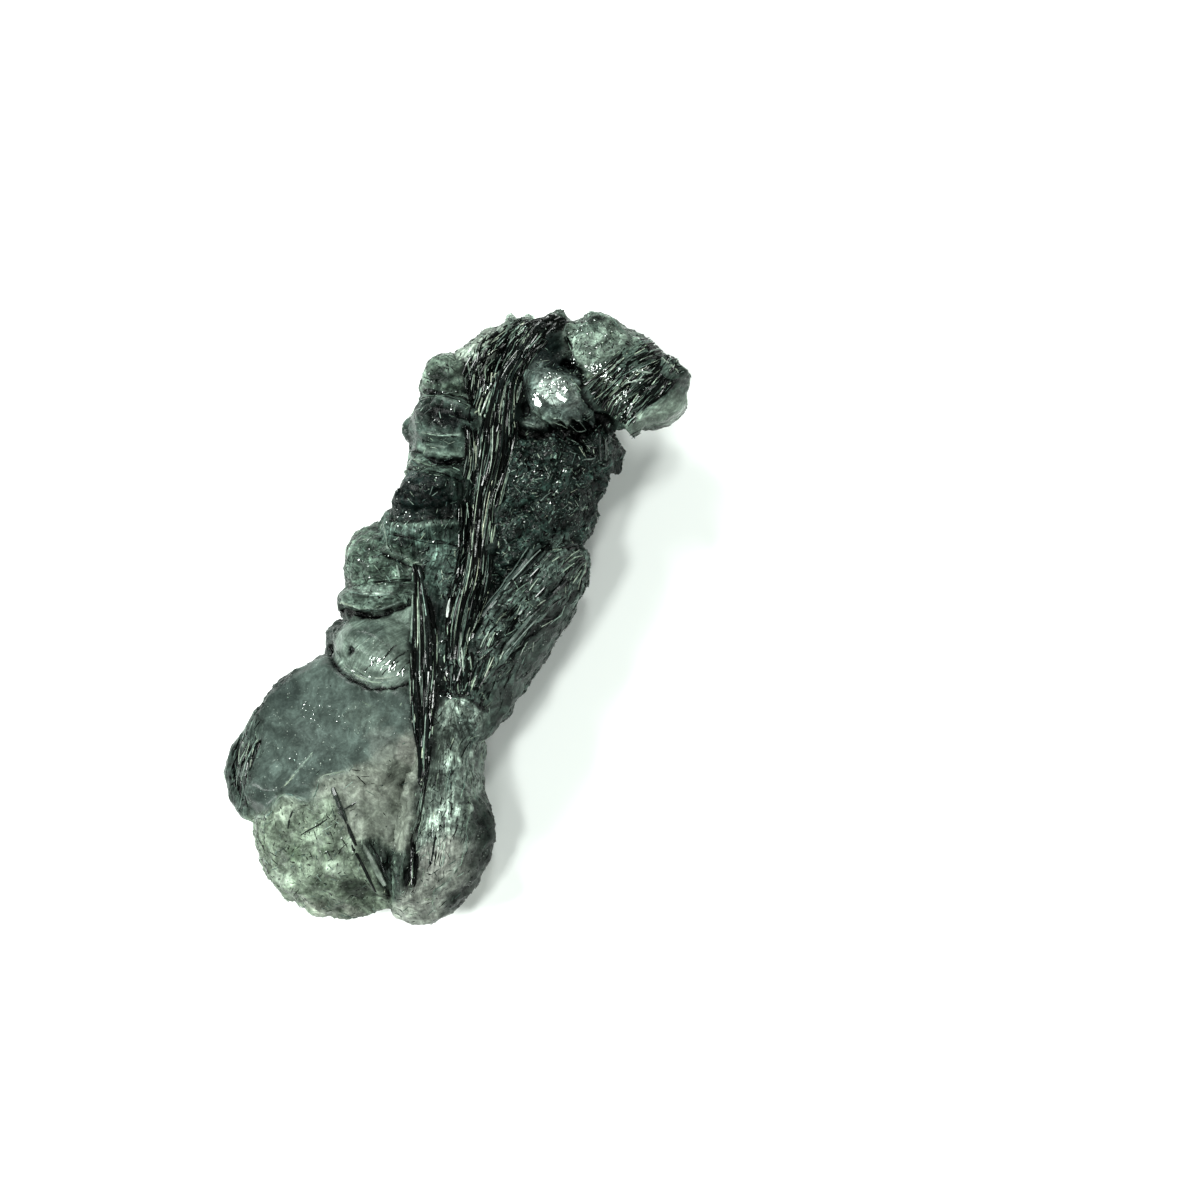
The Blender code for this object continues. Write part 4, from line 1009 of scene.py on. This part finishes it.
def add_grain(growth, face, crust, spot, normal, chance):
    """One small crystal let into the surface, or standing on end there."""
    _, shortest, longest, thick, (darkest, palest), on_end = crust
    length = shortest + (longest - shortest) * chance.random() ** 2.2
    heading = heading_on(normal, math.radians(face.lie) + chance.gauss(0.0, 0.3 + 1.4 * (1.0 - face.streaks)))
    stands = normal.z > 0.6 and chance.random() < on_end
    lean = chance.uniform(0.5, 1.2) if stands else chance.uniform(-0.25, 0.25)
    heading = (heading * math.cos(lean) + normal * math.sin(lean)).normalized()
    radius = max(0.03, 0.5 * length * thick * chance.uniform(0.6, 1.3))
    spot = spot + normal * chance.uniform(-0.4, 0.4 if normal.z > 0.5 else 0.0) * radius
    level = darkest + (palest - darkest) * chance.random() ** 2.6
    half = heading * (0.5 * length)
    taper = chance.uniform(0.35, 1.0)
    growth.tube(
        [spot - half, spot + half],
        [radius, radius * taper],
        grey_green(level, chance),
        sides=chance.choice((4, 5, 5, 6)),
        flat=chance.uniform(0.45, 1.0),
        turn=chance.uniform(0.0, 3.0),
    )


def add_stroke(growth, face, spot, normal, chance):
    """One pale edge or dark hair on the surface."""
    heading = heading_on(normal, math.radians(face.lie) + chance.gauss(0.0, 0.25 + 1.5 * (1.0 - face.streaks)))
    heading = heading * (0.06 + 0.3 * chance.random() ** 1.6)
    middle = spot + normal * 0.004
    radius = chance.uniform(0.016, 0.032)
    level = 60.0 + 160.0 * chance.random() ** 1.4 if chance.random() < 0.5 else chance.uniform(2, 18)
    growth.tube([middle - heading, middle, middle + heading], [0.5 * radius, radius, 0.5 * radius],
                grey_green(level, chance), sides=4, flat=0.8)


def grow_grains(mesh, shares, crevices):
    """Small crystals and strokes on the faces, along each face's own lie. Crevices stay free."""
    picker = np.random.default_rng(SEED)
    chance = random.Random("grains")
    normals = points_of(mesh, "normal")
    areas, middles, corner = polygon_places(mesh)
    owner = shares[corner].argmax(axis=1)
    high = points_of(mesh)[corner][:, 2] > LOWEST_GRAIN
    growths = [Growth(), Growth(), Growth()]
    for index, (name, face) in enumerate(FACES.items()):
        if name not in GRAINS:
            continue
        own = np.flatnonzero((owner == index) & high)
        if not len(own):
            continue
        crust = GRAINS[name]
        up = np.clip(normals[corner[own]][:, 2], 0.0, 1.0)
        weight = areas[own] * (0.3 + 0.7 * up) * (1.0 - 0.95 * crevices[corner[own]])
        odds = weight / weight.sum()
        for number, pick in enumerate(picker.choice(own, size=int(crust[0] * weight.sum()), p=odds)):
            add_grain(growths[number % 2], face, crust, Vector(middles[pick]), Vector(normals[corner[pick]]), chance)
        for pick in picker.choice(own, size=int(STROKES.get(name, 0.0) * weight.sum()), p=odds):
            add_stroke(growths[2], face, Vector(middles[pick]), Vector(normals[corner[pick]]), chance)
    return [growth.mesh(f"grains_{number}") for number, growth in enumerate(growths)]


def grow_cleavage(ground):
    """Small flat tablets let into the crystals, all nearly parallel, so that they flash together."""
    growth = Growth()
    chance = random.Random("cleavage")
    for (x, y), (reach_x, reach_y), count, (smallest, largest), slim, lie in CLEAVED:
        for _ in range(count):
            turn, share = chance.uniform(0.0, math.tau), math.sqrt(chance.random())
            spot = (x + reach_x * share * math.cos(turn), y + reach_y * share * math.sin(turn))
            middle = Vector((*spot, ground.top(*spot, otherwise=-1.0)))
            if middle.z < 0.0:
                continue
            half = smallest + (largest - smallest) * chance.random() ** 1.5
            sway = min(0.05, 0.006 / half)
            jitter = Vector((chance.gauss(0.0, sway), chance.gauss(0.0, sway), 0.0))
            normal = (Vector(CLEAVAGE) + jitter).normalized()
            middle += normal * (0.03 + 0.22 * half)
            heading = math.radians(lie + chance.gauss(0.0, 14.0))
            growth.shard(middle, normal, flat_heading(heading), half, half / slim, 0.06 + 0.5 * half,
                         grey_green(chance.uniform(100, 170), chance), chance)
    return growth.mesh("cleavage")


def grow_flakes():
    """Clear flakes with broken edges on the rim of the group, each of three tablets grown through each other."""
    growth = Growth()
    chance = random.Random("flakes")
    for (x, y), height, reach, thick in FLAKES:
        for _ in range(3):
            tilt = Vector((chance.uniform(-0.5, 0.5), chance.uniform(-0.5, 0.5), 1.0)).normalized()
            spot = (x + chance.gauss(0.0, 0.15 * reach), y + chance.gauss(0.0, 0.15 * reach))
            middle = Vector((*spot, height + chance.uniform(-0.05, 0.05)))
            heading = chance.uniform(0.0, math.tau)
            half = reach * chance.uniform(0.7, 1.0)
            growth.shard(middle, tilt, flat_heading(heading), half, 0.8 * half, thick, paint(CLEAR), chance)
    return growth.mesh("flakes")


# Materials.


class Nodes:
    """A material's node tree, built a node at a time. Texture places are in millimetres of the object."""

    def __init__(self, name):
        self.material = bpy.data.materials.new(name)
        self.material.use_nodes = True
        self.tree = self.material.node_tree
        self.shader = self.tree.nodes["Principled BSDF"]
        coordinates = self.tree.nodes.new("ShaderNodeTexCoord")
        scale = self.tree.nodes.new("ShaderNodeVectorMath")
        scale.operation = "SCALE"
        scale.inputs["Scale"].default_value = 1.0 / MM
        self.tree.links.new(coordinates.outputs["Object"], scale.inputs[0])
        self.place = scale.outputs[0]

    def put(self, socket, value):
        if isinstance(value, bpy.types.NodeSocket):
            self.tree.links.new(value, socket)
        else:
            socket.default_value = value

    def read(self, name, output="Fac"):
        """What add_values stored under that name."""
        node = self.tree.nodes.new("ShaderNodeAttribute")
        node.attribute_name = name
        return node.outputs[output]

    def calc(self, operation, *terms, clamp=False):
        node = self.tree.nodes.new("ShaderNodeMath")
        node.operation = operation
        node.use_clamp = clamp
        for socket, term in zip(node.inputs, terms):
            self.put(socket, term)
        return node.outputs[0]

    def total(self, *terms):
        return reduce(lambda a, b: self.calc("ADD", a, b), terms)

    def product(self, *terms):
        return reduce(lambda a, b: self.calc("MULTIPLY", a, b), terms)

    def vector(self, x, y, z):
        node = self.tree.nodes.new("ShaderNodeCombineXYZ")
        for socket, term in zip(node.inputs, (x, y, z)):
            self.put(socket, term)
        return node.outputs[0]

    def noise(self, scale, detail=3.0, roughness=0.55, distortion=0.0, place=None):
        node = self.tree.nodes.new("ShaderNodeTexNoise")
        node.inputs["Scale"].default_value = scale
        node.inputs["Detail"].default_value = detail
        node.inputs["Roughness"].default_value = roughness
        node.inputs["Distortion"].default_value = distortion
        self.tree.links.new(place or self.place, node.inputs["Vector"])
        return node.outputs["Fac"]

    def wave(self, *settings, place=None):
        """Noise that swings about zero."""
        return self.calc("SUBTRACT", self.noise(*settings, place=place), 0.5)

    def span(self, value, low, high, to_low=0.0, to_high=1.0):
        node = self.tree.nodes.new("ShaderNodeMapRange")
        node.interpolation_type = "SMOOTHSTEP"
        for socket, term in zip(node.inputs, (value, low, high, to_low, to_high)):
            self.put(socket, term)
        return node.outputs[0]

    def mix(self, share, a, b):
        node = self.tree.nodes.new("ShaderNodeMix")
        node.data_type = "RGBA"
        self.put(node.inputs["Factor"], share)
        colours = [socket for socket in node.inputs if socket.type == "RGBA"]
        self.put(colours[0], a)
        self.put(colours[1], b)
        return [socket for socket in node.outputs if socket.type == "RGBA"][0]

    def dimmed(self, colour, value):
        node = self.tree.nodes.new("ShaderNodeVectorMath")
        node.operation = "SCALE"
        self.put(node.inputs[0], colour)
        self.put(node.inputs["Scale"], value)
        return node.outputs[0]

    def bump(self, height, distance, strength):
        node = self.tree.nodes.new("ShaderNodeBump")
        node.inputs["Strength"].default_value = strength
        node.inputs["Distance"].default_value = distance
        self.tree.links.new(height, node.inputs["Height"])
        return node.outputs["Normal"]

    def finish(self, colour, roughness, normal=None, **fixed):
        self.put(self.shader.inputs["Base Color"], colour)
        self.put(self.shader.inputs["Roughness"], roughness)
        if normal is not None:
            self.put(self.shader.inputs["Normal"], normal)
        for name, setting in fixed.items():
            self.shader.inputs[name.replace("_", " ")].default_value = setting
        return self.material


def skin_material():
    """Weathered apatite: mottled green-grey with fine streaks and pale specks, and painted shade in cracks and hollows.
    """
    n = Nodes("apatite_skin")
    contrast, crack, facets, streaks = (n.read(name) for name in ("contrast", "crack", "facets", "streaks"))
    mottle = n.wave(1.3, 5.0, 0.66, 0.6)
    fine = n.wave(6.5, 4.0, 0.6, 0.6)
    broad = n.wave(0.5, 3.0, 0.5, 0.5)
    lined = n.vector(n.product(n.read("across"), 9.0), n.product(n.read("along"), 0.7), 0.0)
    streak = n.wave(1.0, 3.0, 0.6, 0.2, place=lined)
    swing = n.total(
        n.product(mottle, 4.2), n.product(fine, 1.5), n.product(broad, 1.6), n.product(streak, streaks, 3.6)
    )
    # Painted shade: darker along cracks and crevices, and darker still where the skin is shut in.
    tone = n.product(
        n.calc("EXPONENT", n.product(swing, contrast)),
        n.calc("SUBTRACT", 1.0, n.product(crack, 0.9)),
        n.span(n.read("hollow_shade"), 0.03, 0.75, 1.0, 0.08),
    )
    specks = n.product(n.span(n.noise(9.0, 2.0, 0.5), 0.66, 0.74), n.span(n.noise(1.1, 2.0), 0.45, 0.62), 0.55)
    painted = n.mix(specks, n.dimmed(n.read("colour", "Color"), tone), (0.5, 0.56, 0.5, 1.0))
    rough = n.calc("ADD", n.read("gloss"), n.product(mottle, 0.3), clamp=True)
    grain = n.total(n.product(fine, facets), n.product(streak, streaks, 1.2), n.product(fine, 0.2))
    return n.finish(painted, rough, n.bump(grain, 0.00006, 0.8), IOR=1.63, Specular_IOR_Level=0.06)


def needle_material(name, roughness=0.12, streak=5.0):
    """Dark glassy needles, streaked along their length."""
    n = Nodes(name)
    bands = n.wave(streak, 3.0, 0.6, 0.3)
    along = n.vector(n.product(n.read("run"), 1.4), n.noise(2.0, 1.0), 0.0)
    breaks = n.wave(1.2, 2.0, 0.5, place=along)
    tone = n.calc("EXPONENT", n.total(n.product(bands, 2.4), n.product(breaks, 1.6)))
    rough = n.calc("ADD", roughness, n.product(bands, 0.2), clamp=True)
    colour = n.dimmed(n.read("colour", "Color"), tone)
    return n.finish(colour, rough, n.bump(bands, 0.00003, 0.4), IOR=1.64, Specular_IOR_Level=0.2)


def chip_material(name, texture, contrast, rough, unevenness, bump, shine):
    """Small glassy crystals, each its own shade, their faces a little uneven."""
    n = Nodes(name)
    fine = n.wave(*texture)
    colour = n.dimmed(n.read("colour", "Color"), n.calc("EXPONENT", n.product(fine, contrast)))
    roughness = n.calc("ADD", rough, n.product(fine, unevenness), clamp=True)
    return n.finish(colour, roughness, n.bump(fine, *bump), IOR=1.63, Specular_IOR_Level=shine)


def flake_material():
    """Nearly clear apatite with a faint green-grey haze."""
    n = Nodes("apatite_clear")
    haze = n.noise(3.0, 4.0, 0.6, 0.4)
    tint = n.mix(n.span(haze, 0.35, 0.7), (0.42, 0.5, 0.44, 1.0), (0.66, 0.74, 0.68, 1.0))
    rough = n.total(0.08, n.product(haze, 0.3))
    return n.finish(tint, rough, n.bump(haze, 0.00006, 0.6), IOR=1.63, Transmission_Weight=0.85)


def floor_material():
    """A pale matt table."""
    n = Nodes("pale_table")
    colour = n.mix(n.noise(0.02, 3.0), (0.9, 0.91, 0.9, 1.0), (0.94, 0.945, 0.94, 1.0))
    return n.finish(colour, 0.7, Specular_IOR_Level=0.2)


# The studio.


def add_floor():
    low, high = -0.5 * TABLE, 0.5 * TABLE
    mesh = bpy.data.meshes.new("table_top")
    mesh.from_pydata([(low, low, 0.0), (high, low, 0.0), (high, high, 0.0), (low, high, 0.0)], [], [(0, 1, 2, 3)])
    mesh.materials.append(floor_material())
    floor = bpy.data.objects.new("table_top", mesh)
    bpy.context.scene.collection.objects.link(floor)


def add_light(name, place, size, radiance):
    """A square soft light, aimed at the crystal, as bright as radiance says from the front."""
    lamp = bpy.data.lights.new(name, "AREA")
    lamp.size = size
    lamp.energy = 4.0 * size * size * radiance
    lamp.color = LIGHT_COLOUR
    light = bpy.data.objects.new(name, lamp)
    light.location = place
    light.rotation_euler = (Vector(AIM) - Vector(place)).to_track_quat("-Z", "Y").to_euler()
    bpy.context.scene.collection.objects.link(light)


def add_world():
    world = bpy.data.worlds.new("studio")
    world.use_nodes = True
    world.node_tree.nodes["Background"].inputs["Color"].default_value = SKY_COLOUR
    world.node_tree.nodes["Background"].inputs["Strength"].default_value = SKY_STRENGTH
    bpy.context.scene.world = world


def add_camera():
    """The photograph's view: from above the heel's side, rolled so that the stem leans to the right."""
    lens = bpy.data.cameras.new("camera")
    lens.lens = LENS
    lens.sensor_width = SENSOR
    lens.clip_start = 0.005
    lens.clip_end = 5.0
    camera = bpy.data.objects.new("camera", lens)
    right = Vector(VIEW_RIGHT).normalized()
    forward = Vector(VIEW_FORWARD).normalized()
    up = right.cross(forward).normalized()
    right = forward.cross(up)
    turn = Matrix((right, up, -forward)).transposed().to_4x4()
    camera.matrix_world = Matrix.Translation(VIEW_PLACE) @ turn
    bpy.context.scene.collection.objects.link(camera)
    bpy.context.scene.camera = camera


def build():
    skin = fine_mesh()
    shares, crevices = shape_skin(skin)
    for polygon in skin.polygons:
        polygon.use_smooth = True
    ground = Ground(skin)
    grains = grow_grains(skin, shares, crevices)
    needles = {name: grow_needles(name, ground, *measures) for name, measures in NEEDLES.items()}
    rods = grow_rods(ground)
    edges = grow_edges(ground)
    cleavage = grow_cleavage(ground)
    flakes = grow_flakes()

    body = place_mesh("crystals", skin, skin_material())
    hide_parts(NODE)
    glassy = needle_material("needles_dark")
    for name, mesh in needles.items():
        place_mesh(name, mesh, glassy)
    place_mesh("rods", rods, needle_material("rods_grey", 0.24, 3.0))
    small = chip_material("apatite_grains", (7.0, 4.0, 0.65, 0.5), 3.0, 0.11, 0.3, (0.00003, 0.5), 0.13)
    for number, mesh in enumerate(grains):
        place_mesh(f"grains_{number}", mesh, small)
    place_mesh("edges", edges, small)
    bright = chip_material("apatite_cleavage", (9.0, 4.0, 0.6, 0.8), 2.0, 0.17, 0.4, (0.00002, 0.35), 0.8)
    place_mesh("cleavage", cleavage, bright)
    place_mesh("flakes", flakes, flake_material())


noise.seed_set(SEED)    # unseeded, the vector noise would differ from run to run
build()
add_floor()
add_world()
for light in LIGHTS:
    add_light(*light)
add_camera()
bpy.context.scene.view_settings.view_transform = "Standard"
